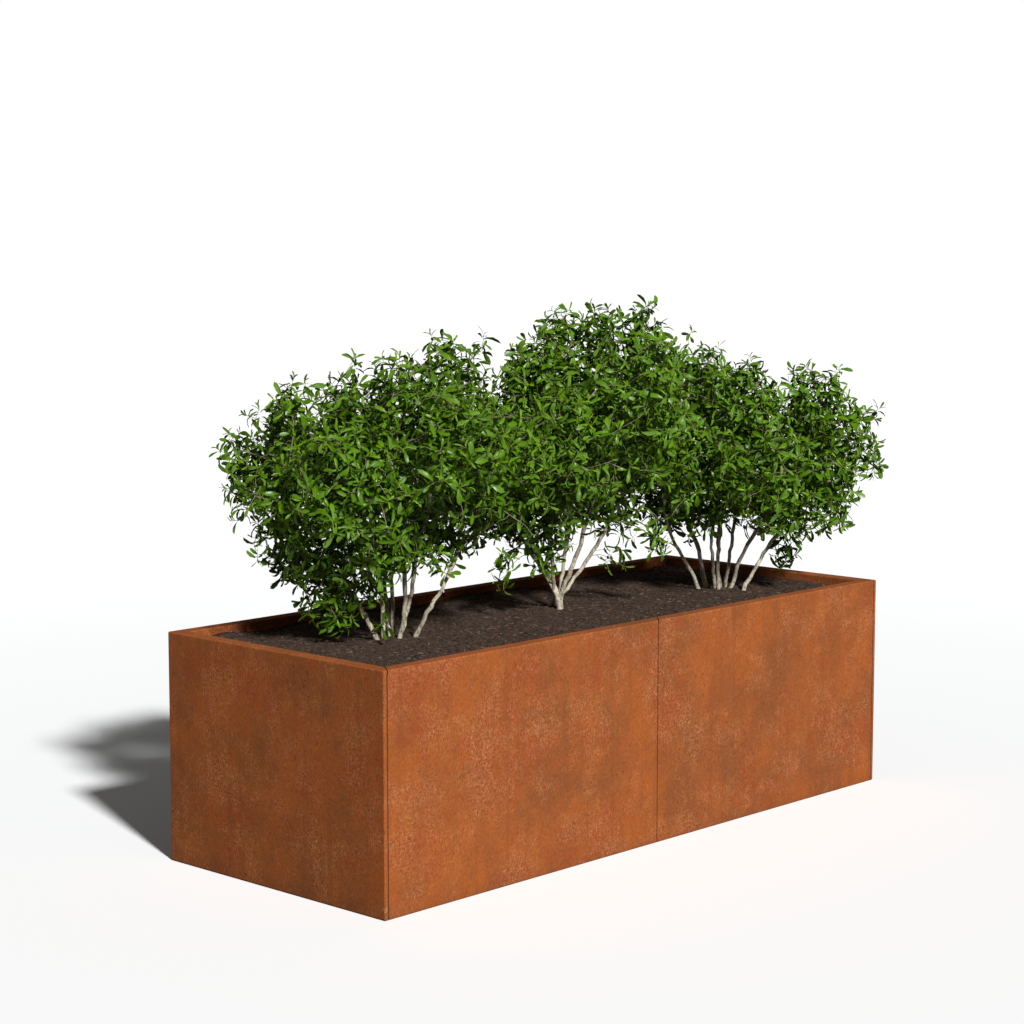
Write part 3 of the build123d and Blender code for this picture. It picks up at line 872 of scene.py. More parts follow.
def rosette_tree() -> GeometryTree:
    """Sets leaves in a spiral below each twig tip, the youngest at the tip and most upright.

    Returns:
        The tree.
    """
    tree = GeometryTree("rosettes", {"Leaf": bpy.types.Object, "Leaves": int, "First": int,
                                     "Spacing": float, "Smallest": float, "Largest": float,
                                     "Raise": float, "Lower": float, "Finish": bpy.types.Material})
    tips = tree.node("GeometryNodeMeshToPoints", {}, {"Mesh": tree.given("Geometry")})
    kind = {"data_type": "INT"}
    crowding = tree.node("GeometryNodeInputNamedAttribute", kind, {"Name": "leaves"})
    amount = tree.maths("MINIMUM", crowding, tree.given("Leaves"))
    copies = tree.tree.nodes.new("GeometryNodeDuplicateElements")
    copies.domain = "POINT"
    tree.tree.links.new(tips.socket, copies.inputs["Geometry"])
    tree.tree.links.new(amount.socket, copies.inputs["Amount"])
    order = Wire(tree, copies.outputs["Duplicate Index"]) + tree.given("First")
    vector = {"data_type": "FLOAT_VECTOR"}
    aim = tree.node("GeometryNodeInputNamedAttribute", vector, {"Name": "aim"})
    start = tree.node("GeometryNodeInputNamedAttribute", {"data_type": "FLOAT"}, {"Name": "start"})
    back = aim * (order * tree.given("Spacing") * -1.0)
    placed = tree.node("GeometryNodeSetPosition", {},
                       {"Geometry": Wire(tree, copies.outputs["Geometry"]), "Offset": back})
    upright = tree.node("FunctionNodeAlignRotationToVector", {"axis": "Z"}, {"Vector": aim})
    around = order * GOLDEN_TURN + start + tree.random(-LEAF_SWING, LEAF_SWING, 21)
    lift = tree.given("Raise") - order * tree.given("Lower") + tree.random(-LEAF_NOD, LEAF_NOD, 22)
    turned = tree.turned(upright, tree.triple(0.0, 0.0, around))
    turned = tree.turned(turned, tree.triple(0.0, lift * -1.0, 0.0))
    turned = tree.turned(turned, tree.triple(tree.random(-LEAF_ROLL, LEAF_ROLL, 23), 0.0, 0.0))
    range_of_sizes = tree.given("Largest") - tree.given("Smallest")
    size = tree.random(0.0, 1.0, 24) * range_of_sizes + tree.given("Smallest")
    shape = tree.triple(size, size * tree.random(*LEAF_WIDTHS, 25), size * tree.random(*LEAF_FOLDS, 26))
    leaf = tree.node("GeometryNodeObjectInfo", {}, {"Object": tree.given("Leaf")}, "Geometry")
    set_out = tree.node("GeometryNodeInstanceOnPoints", {},
                        {"Points": placed, "Instance": leaf, "Rotation": turned, "Scale": shape})
    toned = tree.node("GeometryNodeStoreNamedAttribute", {"data_type": "FLOAT", "domain": "INSTANCE"},
                      {"Geometry": set_out, "Name": "tone", "Value": tree.random(0.0, 1.0, 27)})
    tree.close(toned, tree.given("Finish"))
    return tree


def limb_tree() -> GeometryTree:
    """Turns chains of edges into closed tubes, as thick at each point as the chain's girth.

    Returns:
        The tree.
    """
    tree = GeometryTree("limbs", {"Sides": int, "Finish": bpy.types.Material})
    chains = tree.node("GeometryNodeMeshToCurve", {}, {"Mesh": tree.given("Geometry")})
    girth = tree.node("GeometryNodeInputNamedAttribute", {"data_type": "FLOAT"}, {"Name": "girth"})
    profile = tree.node("GeometryNodeCurvePrimitiveCircle", {"mode": "RADIUS"},
                        {"Resolution": tree.given("Sides"), "Radius": 1.0})
    tubes = tree.node("GeometryNodeCurveToMesh", {},
                      {"Curve": chains, "Profile Curve": profile, "Scale": girth, "Fill Caps": True})
    smooth = tree.node("GeometryNodeSetShadeSmooth", {}, {"Geometry": tubes})
    tree.close(smooth, tree.given("Finish"))
    return tree


# ---------------------------------------------------------------- sub-assemblies


@dataclass
class Maker:
    """Shared steps of every sub-assembly."""

    def hand_over(self, piece: bpy.types.Object, slot: str, *nodes: str) -> None:
        """Rides a finished piece on the body, hides the CAD nodes that it stands for and logs its slot.

        Args:
            piece: the finished piece.
            slot: its material slot, which is logged.
            nodes: the CAD nodes whose place it takes.
        """
        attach(piece, BODY)
        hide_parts(*nodes)
        faces = len(piece.data.polygons)
        log.info("%s: %d faces, slot %s, stands for %s", piece.name, faces, slot, ", ".join(nodes))


@dataclass
class SteelBox(Maker):
    """The panels, fasteners, floor and liner, whose shapes the CAD model already holds."""

    finishes: dict[str, Finish] = field(default_factory=lambda: {
        "weathering_steel": RustPatina("weathering_steel"),
        "zinc_plated_steel": ZincPlate("zinc_plated_steel"),
        "bare_steel": WeldedSteel("bare_steel"),
        "galvanised_steel": HotDipZinc("galvanised_steel"),
        "liner_plastic": LinerPlastic("liner_plastic"),
        "soil": Earth("planting_soil"),
        "root_soil": Earth("rooted_soil", roots=0.8),
    })

    def dress(self) -> None:
        """Gives every CAD node that stays its finish, by the slot that its record names."""
        slots = {row["node"]: row["material_slot"] for row in frame["record"]["subparts"]}
        made = {slot: finish.material() for slot, finish in self.finishes.items()}
        for node, slot in slots.items():
            if slot not in made:
                continue
            piece = frame["nodes"][node]
            for place in piece.material_slots:
                place.material = made[slot]
            if not piece.material_slots:
                piece.data.materials.append(made[slot])
            log.info("%s: dressed in %s", node, slot)


@dataclass
class Fill(Maker):
    """What the box is filled with: drainage stones, filter fleece and the bark layer on top."""

    grid: float = 0.008
    waves: float = 0.0035
    wave_pitch: float = 22.0
    bed_drop: float = 0.003
    mound: float = 0.007
    mound_reach: float = 0.10
    chip_density: float = 6300.0
    chip_length: float = 0.0085
    chip_sizes: Span = (0.5, 1.7)
    chip_tilt: float = 0.3
    stone_size: float = 0.022
    stone_sizes: Span = (0.5, 0.85)
    stone_tilt: float = math.pi / 6
    stone_density: float = 3300.0
    core_grid: float = 0.02
    core_waves: float = 0.002
    core_pitch: float = 60.0
    fleece_grid: float = 0.012
    fleece_thickness: float = 0.0012
    fleece_waves: float = 0.00025
    fleece_pitch: float = 40.0
    crossings: int = 14
    seed: int = 4

    def waved_slab(self, name: str, low: Vector, high: Vector, step: float, top: Heights,
                   thickness: float | None = None) -> bpy.types.Mesh:
        """A closed slab on a grid, with a top that rises and falls.

        Args:
            name: the mesh's name.
            low: the slab's lowest corner.
            high: its highest corner.
            step: the grid's step.
            top: gives the top's offset at each place.
            thickness: the slab's thickness, or None for a flat underside at the lowest corner.

        Returns:
            The mesh.
        """
        across = max(2, round((high.x - low.x) / step)) + 1
        deep = max(2, round((high.y - low.y) / step)) + 1
        xs, ys = np.meshgrid(np.linspace(low.x, high.x, across), np.linspace(low.y, high.y, deep),
                             indexing="ij")
        upper = np.full(xs.shape, high.z) + top(xs, ys)
        lower = np.full(xs.shape, low.z) if thickness is None else upper - thickness
        points = np.concatenate([np.stack([xs, ys, upper], -1).reshape(-1, 3),
                                 np.stack([xs, ys, lower], -1).reshape(-1, 3)])
        index = np.arange(across * deep).reshape(across, deep)
        a, b, c, d = index[:-1, :-1], index[1:, :-1], index[1:, 1:], index[:-1, 1:]
        above = np.stack([a, b, c, d], -1).reshape(-1, 4)
        below = np.stack([a, d, c, b], -1).reshape(-1, 4) + across * deep
        rim = np.concatenate([index[:, 0], index[-1, 1:], index[-2::-1, -1], index[0, -2:0:-1]])
        after = np.roll(rim, -1)
        walls = np.stack([rim, rim + across * deep, after + across * deep, after], -1)
        return mesh_of(name, points, np.concatenate([above, below, walls]).tolist())

    def ripples(self, size: float, pitch: float, feet: Sequence[Vector] = ()) -> Heights:
        """A seeded height pattern of crossing waves, with a small mound around each foot.

        Args:
            size: about how high the waves rise and fall.
            pitch: how close the waves follow each other, in radians per metre.
            feet: where the mounds are.

        Returns:
            A function that gives the offset at each place.
        """
        draw = np.random.default_rng(self.seed)
        turns = draw.uniform(0, math.tau, self.crossings)
        speeds = draw.uniform(0.35, 2.4, self.crossings) * pitch
        shifts = draw.uniform(0, math.tau, self.crossings)

        def height(xs: np.ndarray, ys: np.ndarray) -> np.ndarray:
            """The offset at each place.

            Args:
                xs: the places along X.
                ys: the places along Y.

            Returns:
                The offsets.
            """
            total = np.zeros(xs.shape)
            for turn, speed, shift in zip(turns, speeds, shifts):
                wave = np.sin((xs * math.cos(turn) + ys * math.sin(turn)) * speed + shift)
                total += wave / (speed / pitch)
            total *= size / 3.2
            for foot in feet:
                away = (xs - foot.x) ** 2 + (ys - foot.y) ** 2
                total += self.mound * np.exp(-away / self.mound_reach ** 2)
            return total

        return height

    def chip(self) -> bpy.types.Object:
        """A bark flake: an uneven, slightly bent sliver about one unit long.

        Returns:
            The flake.
        """
        draw = np.random.default_rng(self.seed)
        stations = ((-0.5, 0.10, 0.04), (0.05, 0.21, 0.08), (0.5, 0.07, 0.04))
        points, faces = [], []
        for along, half, thick in stations:
            bend = 0.10 * math.cos(along * 3.0)
            for y, z in ((-half, -thick), (half, -thick), (half * 0.9, thick), (-half * 0.8, thick)):
                points.append((along, y, z + bend) + draw.uniform(-0.025, 0.025, 3))
        for ring in range(len(stations) - 1):
            for side in range(4):
                a, b = ring * 4 + side, ring * 4 + (side + 1) % 4
                faces.append((a, a + 4, b + 4, b))
        last = (len(stations) - 1) * 4
        faces += [(0, 1, 2, 3), (last + 3, last + 2, last + 1, last)]
        return plain_object("bark_flake", mesh_of("bark_flake", np.array(points), faces))

    def stone(self) -> bpy.types.Object:
        """A rounded drainage stone about one unit across.

        Returns:
            The stone.
        """
        draw = np.random.default_rng(self.seed + 1)
        rings, sides = 4, 7
        points = [(0.0, 0.0, -0.5)]
        for ring in range(1, rings):
            tilt = math.pi * ring / rings
            for side in range(sides):
                turn = math.tau * (side + 0.5 * (ring % 2)) / sides
                reach = 0.5 * math.sin(tilt) * draw.uniform(0.85, 1.1)
                points.append((reach * math.cos(turn), reach * math.sin(turn), -0.5 * math.cos(tilt)))
        points.append((0.0, 0.0, 0.5))
        faces = []
        for side in range(sides):
            a, b = 1 + side, 1 + (side + 1) % sides
            faces.append((0, b, a))
            for ring in range(rings - 2):
                low = ring * sides
                faces.append((a + low, b + low, b + low + sides, a + low + sides))
            high = (rings - 2) * sides
            faces.append((a + high, b + high, len(points) - 1))
        mesh = mesh_of("drainage_stone", np.array(points), faces)
        mesh.shade_smooth()
        return plain_object("drainage_stone", mesh)

    def build_bark(self, scatter: GeometryTree, feet: Sequence[Vector]) -> None:
        """Makes the bark bed and the loose flakes on it.

        Args:
            scatter: the tree that lays small pieces on a surface.
            feet: where the shrubs leave the soil.
        """
        low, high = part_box("bark_mulch")
        top = self.ripples(self.waves, self.wave_pitch, feet)
        bed_high = Vector((high.x, high.y, high.z - self.bed_drop))
        bed = plain_object("bark_mulch_bed", self.waved_slab("bark_mulch_bed", low, bed_high, self.grid, top))
        bed.data.shade_smooth()
        bed.data.materials.append(BarkCompost("bark_compost").material())
        flake = self.chip()
        smallest, largest = self.chip_sizes
        flakes = scatter.run(bed, "bark_flakes", Piece=flake, Density=self.chip_density,
                             Smallest=self.chip_length * smallest, Largest=self.chip_length * largest,
                             Tilt=self.chip_tilt, Seed=self.seed, Finish=BarkChip("bark_flakes").material())
        self.hand_over(bed, "bark", "bark_mulch")
        self.hand_over(plain_object("bark_mulch_flakes", flakes), "bark", "bark_mulch")
        bpy.data.objects.remove(flake)

    def build_gravel(self, scatter: GeometryTree) -> None:
        """Makes the gravel's core and the stones that cover it.

        Args:
            scatter: the tree that lays small pieces on a surface.
        """
        low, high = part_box("drainage_gravel")
        inset = self.stone_size * 0.55
        core_low = Vector((low.x + inset, low.y + inset, low.z + inset * 0.4))
        core_high = Vector((high.x - inset, high.y - inset, high.z - inset * 1.2))
        core = plain_object("drainage_gravel_core", self.waved_slab(
            "drainage_gravel_core", core_low, core_high, self.core_grid,
            self.ripples(self.core_waves, self.core_pitch)))
        stone_finish = WashedStone("washed_stone").material()
        core.data.materials.append(stone_finish)
        pebble = self.stone()
        smallest, largest = self.stone_sizes
        stones = scatter.run(core, "drainage_stones", Piece=pebble, Density=self.stone_density,
                             Smallest=self.stone_size * smallest, Largest=self.stone_size * largest,
                             Tilt=self.stone_tilt, Seed=self.seed + 2, Finish=stone_finish)
        self.hand_over(core, "gravel", "drainage_gravel")
        self.hand_over(plain_object("drainage_gravel_stones", stones), "gravel", "drainage_gravel")
        bpy.data.objects.remove(pebble)

    def build_fleece(self) -> None:
        """Makes the filter fleece that lies on the gravel."""
        low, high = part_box("filter_fleece")
        middle = Vector((high.x, high.y, (low.z + high.z + self.fleece_thickness) / 2))
        fleece = plain_object("filter_fleece_sheet", self.waved_slab(
            "filter_fleece_sheet", low, middle, self.fleece_grid,
            self.ripples(self.fleece_waves, self.fleece_pitch), self.fleece_thickness))
        fleece.data.shade_smooth()
        fleece.data.materials.append(FilterFelt("filter_felt").material())
        self.hand_over(fleece, "fleece", "filter_fleece")

    def build(self, feet: Sequence[Vector]) -> None:
        """Makes the bark layer, the stones and the fleece.

        Args:
            feet: where the shrubs leave the soil.
        """
        scatter = scatter_tree()
        self.build_bark(scatter, feet)
        self.build_gravel(scatter)
        self.build_fleece()


@dataclass(frozen=True)
class Leaf:
    """One leaf: obovate with a rounded tip, folded a little at the midrib and arched back."""

    half_widths: tuple[tuple[float, float], ...] = ((0.28, 0.058), (0.64, 0.152), (0.90, 0.128))
    fold: float = 0.045
    thickness: float = 0.016
    rise: float = 0.30
    droop: float = 0.70

    def arch(self, along: float) -> float:
        """Height of the midrib along the leaf."""
        return self.rise * along - self.droop * along * along

    def build(self) -> bpy.types.Object:
        """Makes a closed leaf of one unit's length, from the stalk at the origin along +X.

        Returns:
            The leaf.
        """
        points: list[Triple] = [(0.0, 0.0, 0.0), (1.0, 0.0, self.arch(1.0))]
        flats: list[tuple[float, float]] = [(0.0, 0.5), (1.0, 0.5)]
        rows = []
        for along, half in self.half_widths:
            first = len(points)
            rows.append((first, first + 1, first + 2, first + 3))
            height = self.arch(along)
            points += [(along, half, height + self.fold), (along, -half, height + self.fold),
                       (along, 0.0, height), (along, 0.0, height - self.thickness)]
            flats += [(along, 0.5 + half * 3.0), (along, 0.5 - half * 3.0), (along, 0.5), (along, 0.5)]
        top, bottom = [], []
        left, right, rib, keel = rows[0]
        top += [(0, rib, left), (0, right, rib)]
        bottom += [(0, left, keel), (0, keel, right)]
        for near, far in zip(rows, rows[1:]):
            top += [(near[2], far[2], far[0], near[0]), (near[1], far[1], far[2], near[2])]
            bottom += [(near[0], far[0], far[3], near[3]), (near[3], far[3], far[1], near[1])]
        left, right, rib, keel = rows[-1]
        top += [(rib, 1, left), (right, 1, rib)]
        bottom += [(left, 1, keel), (keel, 1, right)]
        mesh = mesh_of("leaf", np.array(points), top + bottom)
        sides = np.array([0.0] * len(top) + [1.0] * len(bottom))
        put_attribute(mesh, "underside", "FLOAT", "FACE", sides)
        sheet = mesh.uv_layers.new(name="UVMap")
        for loop in mesh.loops:
            sheet.data[loop.index].uv = flats[loop.vertex_index]
        mesh.shade_smooth()
        edge_faces: dict[tuple[int, int], set[float]] = {}
        for polygon in mesh.polygons:
            for key in polygon.edge_keys:
                edge_faces.setdefault(tuple(sorted(key)), set()).add(sides[polygon.index])
        for edge in mesh.edges:
            edge.use_edge_sharp = len(edge_faces[tuple(sorted(edge.key))]) > 1
        return plain_object("leaf", mesh)


class Depth(Enum):
    """Where in a crown a rosette sits."""

    OUTER = "outer"
    INNER = "inner"


@dataclass(frozen=True)
class LeafLayer:
    """One kind of leaf in the rosettes; sizes are shares of the leaf length, angles are in radians."""

    age: LeafAge
    depth: Depth
    count: int
    first: int
    spacing: float
    smallest: float
    largest: float
    raised: float
    lowered: float


LEAF_LAYERS = (
    LeafLayer(age=LeafAge.MATURE, depth=Depth.OUTER, count=7, first=2, spacing=0.0032,
              smallest=0.70, largest=1.20, raised=0.84, lowered=0.19),
    LeafLayer(age=LeafAge.YOUNG, depth=Depth.OUTER, count=3, first=0, spacing=0.0026,
              smallest=0.45, largest=0.85, raised=1.15, lowered=0.18),
    # Shade leaves sit deep inside the crown; their darker greens are partly painted shade.
    LeafLayer(age=LeafAge.SHADE, depth=Depth.INNER, count=7, first=0, spacing=0.0055,
              smallest=0.85, largest=1.25, raised=0.70, lowered=0.20),
)


@dataclass
class Branches:
    """A branch network that grows from the stems towards the places where leaves are wanted."""

    step: float = 0.018
    arrive: float = 0.029
    late_reach: float = 2.5
    inertia: float = 0.95
    lift: float = 0.10
    wander: float = 0.07
    rounds: int = 110
    most_shoots: int = 4
    batch: int = 400
    twig_follow: float = 0.22
    twig_sag: float = 0.05
    smoothing: int = 4
    tip_girth: float = 0.00062
    growth_power: float = 2.55
    points: list[np.ndarray] = field(default_factory=list, init=False)
    parents: list[int] = field(default_factory=list, init=False)
    ways: list[np.ndarray] = field(default_factory=list, init=False)
    tips: list[tuple[int, int]] = field(default_factory=list, init=False)
    ends: list[int] = field(default_factory=list, init=False)
    chains: list[list[int]] = field(default_factory=list, init=False)
    places: np.ndarray = field(default_factory=lambda: np.empty((0, 3)), init=False)
    girths: np.ndarray = field(default_factory=lambda: np.empty(0), init=False)

    def grow(self, stems: Sequence[np.ndarray], goals: np.ndarray, free_from: float, seed: int) -> None:
        """Grows the network, then works out its final places, girths and chains.

        Args:
            stems: each main stem's points, from the soil upwards; the first may be another stem's.
            goals: the places to reach.
            free_from: the height above which stems may branch.
            seed: the seed for the random wander.
        """
        draw = np.random.default_rng(seed)
        for stem in stems:
            self.plant(stem)
        heights = np.array([point[2] for point in self.points])
        near = np.full(len(goals), -1)
        gap = np.full(len(goals), np.inf)
        self.measure(goals, np.flatnonzero(heights > free_from), near, gap)
        live = np.ones(len(goals), bool)
        shoots = np.zeros(len(self.points) + self.rounds * len(goals), int)
        for _ in range(self.rounds):
            arrived = np.flatnonzero(live & (gap < self.arrive))
            self.tips += [(int(near[goal]), int(goal)) for goal in arrived]
            live[arrived] = False
            waiting = np.flatnonzero(live)
            if not len(waiting):
                break
            first_new = len(self.points)
            pulls: dict[int, np.ndarray] = {}
            for goal in waiting:
                node = int(near[goal])
                pull = (goals[goal] - self.points[node]) / max(gap[goal], TINY)
                pulls[node] = pulls.get(node, 0.0) + pull
            for node, pull in pulls.items():
                if shoots[node] >= self.most_shoots:
                    continue
                way = pull / max(np.linalg.norm(pull), TINY) + self.inertia * self.ways[node]
                way = way + (0.0, 0.0, self.lift) + draw.normal(0.0, self.wander, 3)
                way /= max(np.linalg.norm(way), TINY)
                shoots[node] += 1
                self.add(self.points[node] + way * self.step, node, way)
            self.measure(goals, np.arange(first_new, len(self.points)), near, gap)
        late = np.flatnonzero(live & (gap < self.arrive * self.late_reach))
        self.tips += [(int(near[goal]), int(goal)) for goal in late]
        self.finish(goals)

    def plant(self, stem: np.ndarray) -> None:
        """Sets down one main stem, from the node of another stem if it starts there.

        Args:
            stem: the stem's points, from the soil upwards.
        """
        last = self.find(stem[0])
        if last is None:
            last = self.add(stem[0], -1, np.array([0.0, 0.0, 1.0]))
        for point in stem[1:]:
            way = point - self.points[last]
            last = self.add(point, last, way / np.linalg.norm(way))

    def find(self, point: np.ndarray) -> int | None:
        """The node that already stands at a point.

        Args:
            point: the point.

        Returns:
            The node's number, or None where there is none.
        """
        for index, known in enumerate(self.points):
            if np.allclose(known, point, atol=TINY):
                return index
        return None

    def add(self, point: np.ndarray, parent: int, way: np.ndarray) -> int:
        """Adds a node.

        Args:
            point: where it stands.
            parent: the number of the node that it grows from, or -1.
            way: the direction in which it grew.

        Returns:
            Its number.
        """
        self.points.append(np.array(point, float))
        self.parents.append(parent)
        self.ways.append(np.array(way, float))
        return len(self.points) - 1

    def measure(self, goals: np.ndarray, nodes: np.ndarray, near: np.ndarray, gap: np.ndarray) -> None:
        """Updates each goal's nearest node and its distance with some new nodes.

        Args:
            goals: the places to reach.
            nodes: the numbers of the new nodes.
            near: each goal's nearest node, which is changed.
            gap: each goal's distance from it, which is changed.
        """
        if not len(nodes):
            return
        places = np.array([self.points[node] for node in nodes])
        for first in range(0, len(goals), self.batch):
            part = slice(first, first + self.batch)
            apart = np.linalg.norm(goals[part, None] - places[None], axis=2)
            best = apart.argmin(axis=1)
            nearest = apart[np.arange(len(best)), best]
            better = nearest < gap[part]
            near[part] = np.where(better, nodes[best], near[part])
            gap[part] = np.where(better, nearest, gap[part])

    def finish(self, goals: np.ndarray) -> None:
        """Adds the last twigs, drops dead wood, smooths the network and works out each node's girth.

        Args:
            goals: the places where the last twigs end.
        """
        for node, goal in self.tips:
            here, there = self.points[node], goals[goal]
            bow = self.ways[node] * self.twig_follow + (0.0, 0.0, -self.twig_sag)
            middle = (here + there) / 2 + bow * np.linalg.norm(there - here)
            half = self.add(middle, node, middle - here)
            self.ends.append(self.add(there, half, there - middle))
        places = np.array(self.points)
        parents = np.array(self.parents)
        needed = np.zeros(len(places), bool)
        for end in self.ends:
            while end >= 0 and not needed[end]:
                needed[end] = True
                end = parents[end]
        load = np.zeros(len(places))
        load[self.ends] = self.tip_girth ** self.growth_power
        for node in range(len(places) - 1, -1, -1):
            if parents[node] >= 0 and needed[node]:
                load[parents[node]] += load[node]
        self.girths = load ** (1.0 / self.growth_power)
        children: list[list[int]] = [[] for _ in places]
        for node, parent in enumerate(parents):
            if parent >= 0 and needed[node]:
                children[parent].append(node)
        for _ in range(self.smoothing):
            smooth = places.copy()
            for node, parent in enumerate(parents):
                if parent >= 0 and needed[node] and children[node]:
                    main = max(children[node], key=lambda child: load[child])
                    smooth[node] = 0.5 * places[node] + 0.25 * (places[parent] + places[main])
            places = smooth
        self.places = places
        for root in np.flatnonzero((parents < 0) & needed):
            self.link(int(root), children, load)

    def link(self, root: int, children: list[list[int]], load: np.ndarray) -> None:
        """Splits what grows from one root into chains, each of which follows the stoutest child.

        Args:
            root: the root's number.
            children: the numbers of each node's children.
            load: how much each node carries.
        """
        waiting: list[tuple[int, list[int]]] = [(root, [])]
        while waiting:
            node, start = waiting.pop()
            chain = list(start)
            while True:
                chain.append(node)
                if not children[node]:
                    break
                ranked = sorted(children[node], key=lambda child: -load[child])
                waiting += [(child, [node]) for child in ranked[1:]]
                node = ranked[0]
            self.chains.append(chain)


@dataclass
class Shrub(Maker):
    """One evergreen shrub: listed stems and foliage masses, with grown branches and leaves between them.

    Stems are given from the foot of the shrub, and masses from its middle line at the soil. Each mass is
    its centre, its radius in plan and its half height. All are in metres.
    """

    name: str
    foot: tuple[float, float]
    stems: tuple[tuple[Triple, ...], ...]
    masses: tuple[tuple[float, float, float, float, float], ...]
    seed: int
    bare_height: float = 0.12
    curve_steps: int = 12
    stem_girth: float = 0.0053
    trunk_girth: float = 0.0
    trunk_height: float = 0.055
    flare: float = 0.30
    flare_height: float = 0.02
    kinks: float = 0.0015
    lumps: Span = (0.87, 1.13)
    thick_girth: float = 0.0024
    stem_sides: int = 9
    twig_sides: int = 4
    rosettes: int = 1780
    tries: int = 40
    spacing: float = 0.0285
    fullness: float = 0.93
    share_power: float = 0.8
    core: float = 0.12
    outward_power: float = 0.42
    sprigs: float = 0.06
    sprig_reach: Span = (1.08, 1.36)
    ragged: float = 0.14
    edge_gap: float = 0.01
    half_depth: float = 0.485
    clump_size: float = 0.16
    clump_beats: Triple = (0.83, 2.3, 1.9)
    fine_clumps: float = 0.55
    clump_gap: float = 0.05
    hollow_gap: float = -0.85
    inner_depth: float = 0.42
    leaf_length: float = 0.0375
    leaf_counts: tuple[int, int] = (4, 8)
    aim_outward: float = 0.55
    aim_upward: float = 0.35
    aim_spread: float = 0.2

    def middle(self) -> Vector:
        """The shrub's middle line at the soil.

        Returns:
            The point.
        """
        low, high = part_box(f"{self.name}_canopy")
        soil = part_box("bark_mulch")[1].z
        sides = {"left_shrub": high.x - self.half_share(), "centre_shrub": (low.x + high.x) / 2,
                 "right_shrub": low.x + self.half_share()}
        return Vector((sides[self.name], 0.0, soil))

    def half_share(self) -> float:
        """Half of the length that each shrub has of the hedge."""
        low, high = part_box("centre_shrub_canopy")
        return (high.x - low.x) / 2

    def foot_point(self) -> Vector:
        """Where the shrub leaves the soil."""
        middle = self.middle()
        return Vector((middle.x + self.foot[0], middle.y + self.foot[1], middle.z))

    def stem_lines(self, step: float) -> list[np.ndarray]:
        """The main stems as evenly spaced points on smooth curves.

        Args:
            step: about how far apart the points are.

        Returns:
            The points of each stem, from the soil upwards.
        """
        foot = np.array(self.foot_point())
        lines = []
        for stem in self.stems:
            knots = np.array(stem, float) + foot
            padded = np.vstack([2 * knots[0] - knots[1], knots, 2 * knots[-1] - knots[-2]])
            curve = []
            for at in range(1, len(padded) - 2):
                p0, p1, p2, p3 = padded[at - 1:at + 3]
                for t in np.linspace(0, 1, self.curve_steps, endpoint=False):
                    curve.append(0.5 * (2 * p1 + (p2 - p0) * t + (2 * p0 - 5 * p1 + 4 * p2 - p3) * t * t
                                        + (3 * p1 - p0 - 3 * p2 + p3) * t ** 3))
            curve.append(knots[-1])
            curve = np.array(curve)
            run = np.concatenate([[0.0], np.cumsum(np.linalg.norm(np.diff(curve, axis=0), axis=1))])
            marks = np.linspace(0, run[-1], max(3, round(run[-1] / step)) + 1)
            lines.append(np.stack([np.interp(marks, run, curve[:, axis]) for axis in range(3)], -1))
        return lines

    def clump_beat(self, place: np.ndarray, phases: np.ndarray) -> float:
        """How strongly leaves gather at a place, by two crossing wave patterns.

        Args:
            place: the place.
            phases: the patterns' seeded shifts.

        Returns:
            A number that is high in a clump and low in a gap.
        """
        pitch = math.tau / self.clump_size
        rolled = place[[1, 2, 0]]
        cross, fine, cross_fine = self.clump_beats
        large = np.sin(place * pitch + phases) * np.cos(rolled * pitch * cross + phases)
        small = np.sin(place * pitch * fine - phases) * np.cos(rolled * pitch * cross_fine - phases)
        return large.sum() + self.fine_clumps * small.sum()

    def may_hold(self, place: np.ndarray, soil: float) -> bool:
        """Whether leaves may stand at a place.

        Args:
            place: the place.
            soil: the soil's height.

        Returns:
            True where it is inside the hedge's box and clear of the soil.
        """
        low, high = CAD_BOX
        inside = (low.x + self.edge_gap < place[0] < high.x - self.edge_gap
                  and abs(place[1]) < self.half_depth and place[2] < high.z - self.edge_gap)
        return inside and place[2] >= soil + self.leaf_length

    def leaf_places(self) -> tuple[np.ndarray, np.ndarray, np.ndarray]:
        """Strews places evenly in the foliage masses.

        Returns:
            The places, the middle of each one's mass, and which of them lie deep inside.
        """
        draw = np.random.default_rng(self.seed)
        middle = np.array(self.middle())
        centres = np.array([mass[:3] for mass in self.masses]) + middle
        reach = np.array([(mass[3], mass[3], mass[4]) for mass in self.masses]) * self.fullness
        share = reach.prod(axis=1) ** self.share_power
        phases = draw.uniform(0.0, math.tau, 3)
        kept: list[np.ndarray] = []
        owners: list[int] = []
        hidden: list[bool] = []
        cells: dict[tuple[int, int, int], list[int]] = {}
        for _ in range(self.rosettes * self.tries):
            mass = int(draw.choice(len(share), p=share / share.sum()))
            way = draw.normal(size=3)
            way /= np.linalg.norm(way)
            out = draw.uniform(self.core, 1.0) ** self.outward_power
            if draw.random() < self.sprigs:
                out = draw.uniform(*self.sprig_reach)
            uneven = 1.0 + self.ragged * math.sin(way[0] * 5.0 + mass) * math.cos(way[1] * 6.0 - mass)
            place = centres[mass] + way * reach[mass] * out * uneven
            if not self.may_hold(place, middle[2]):
                continue
            depth = 1.0 - np.linalg.norm((place - centres) / reach, axis=1).min()
            gap = self.hollow_gap if depth > self.inner_depth else self.clump_gap
            if self.clump_beat(place, phases) < gap:
                continue
            cell = tuple(np.floor(place / self.spacing).astype(int))
            around = [index for dx in (-1, 0, 1) for dy in (-1, 0, 1) for dz in (-1, 0, 1)
                      for index in cells.get((cell[0] + dx, cell[1] + dy, cell[2] + dz), ())]
            if any(np.linalg.norm(kept[index] - place) < self.spacing for index in around):
                continue
            cells.setdefault(cell, []).append(len(kept))
            kept.append(place)
            owners.append(mass)
            hidden.append(depth > self.inner_depth)
            if len(kept) == self.rosettes:
                break
        return np.array(kept), centres[owners], np.array(hidden)

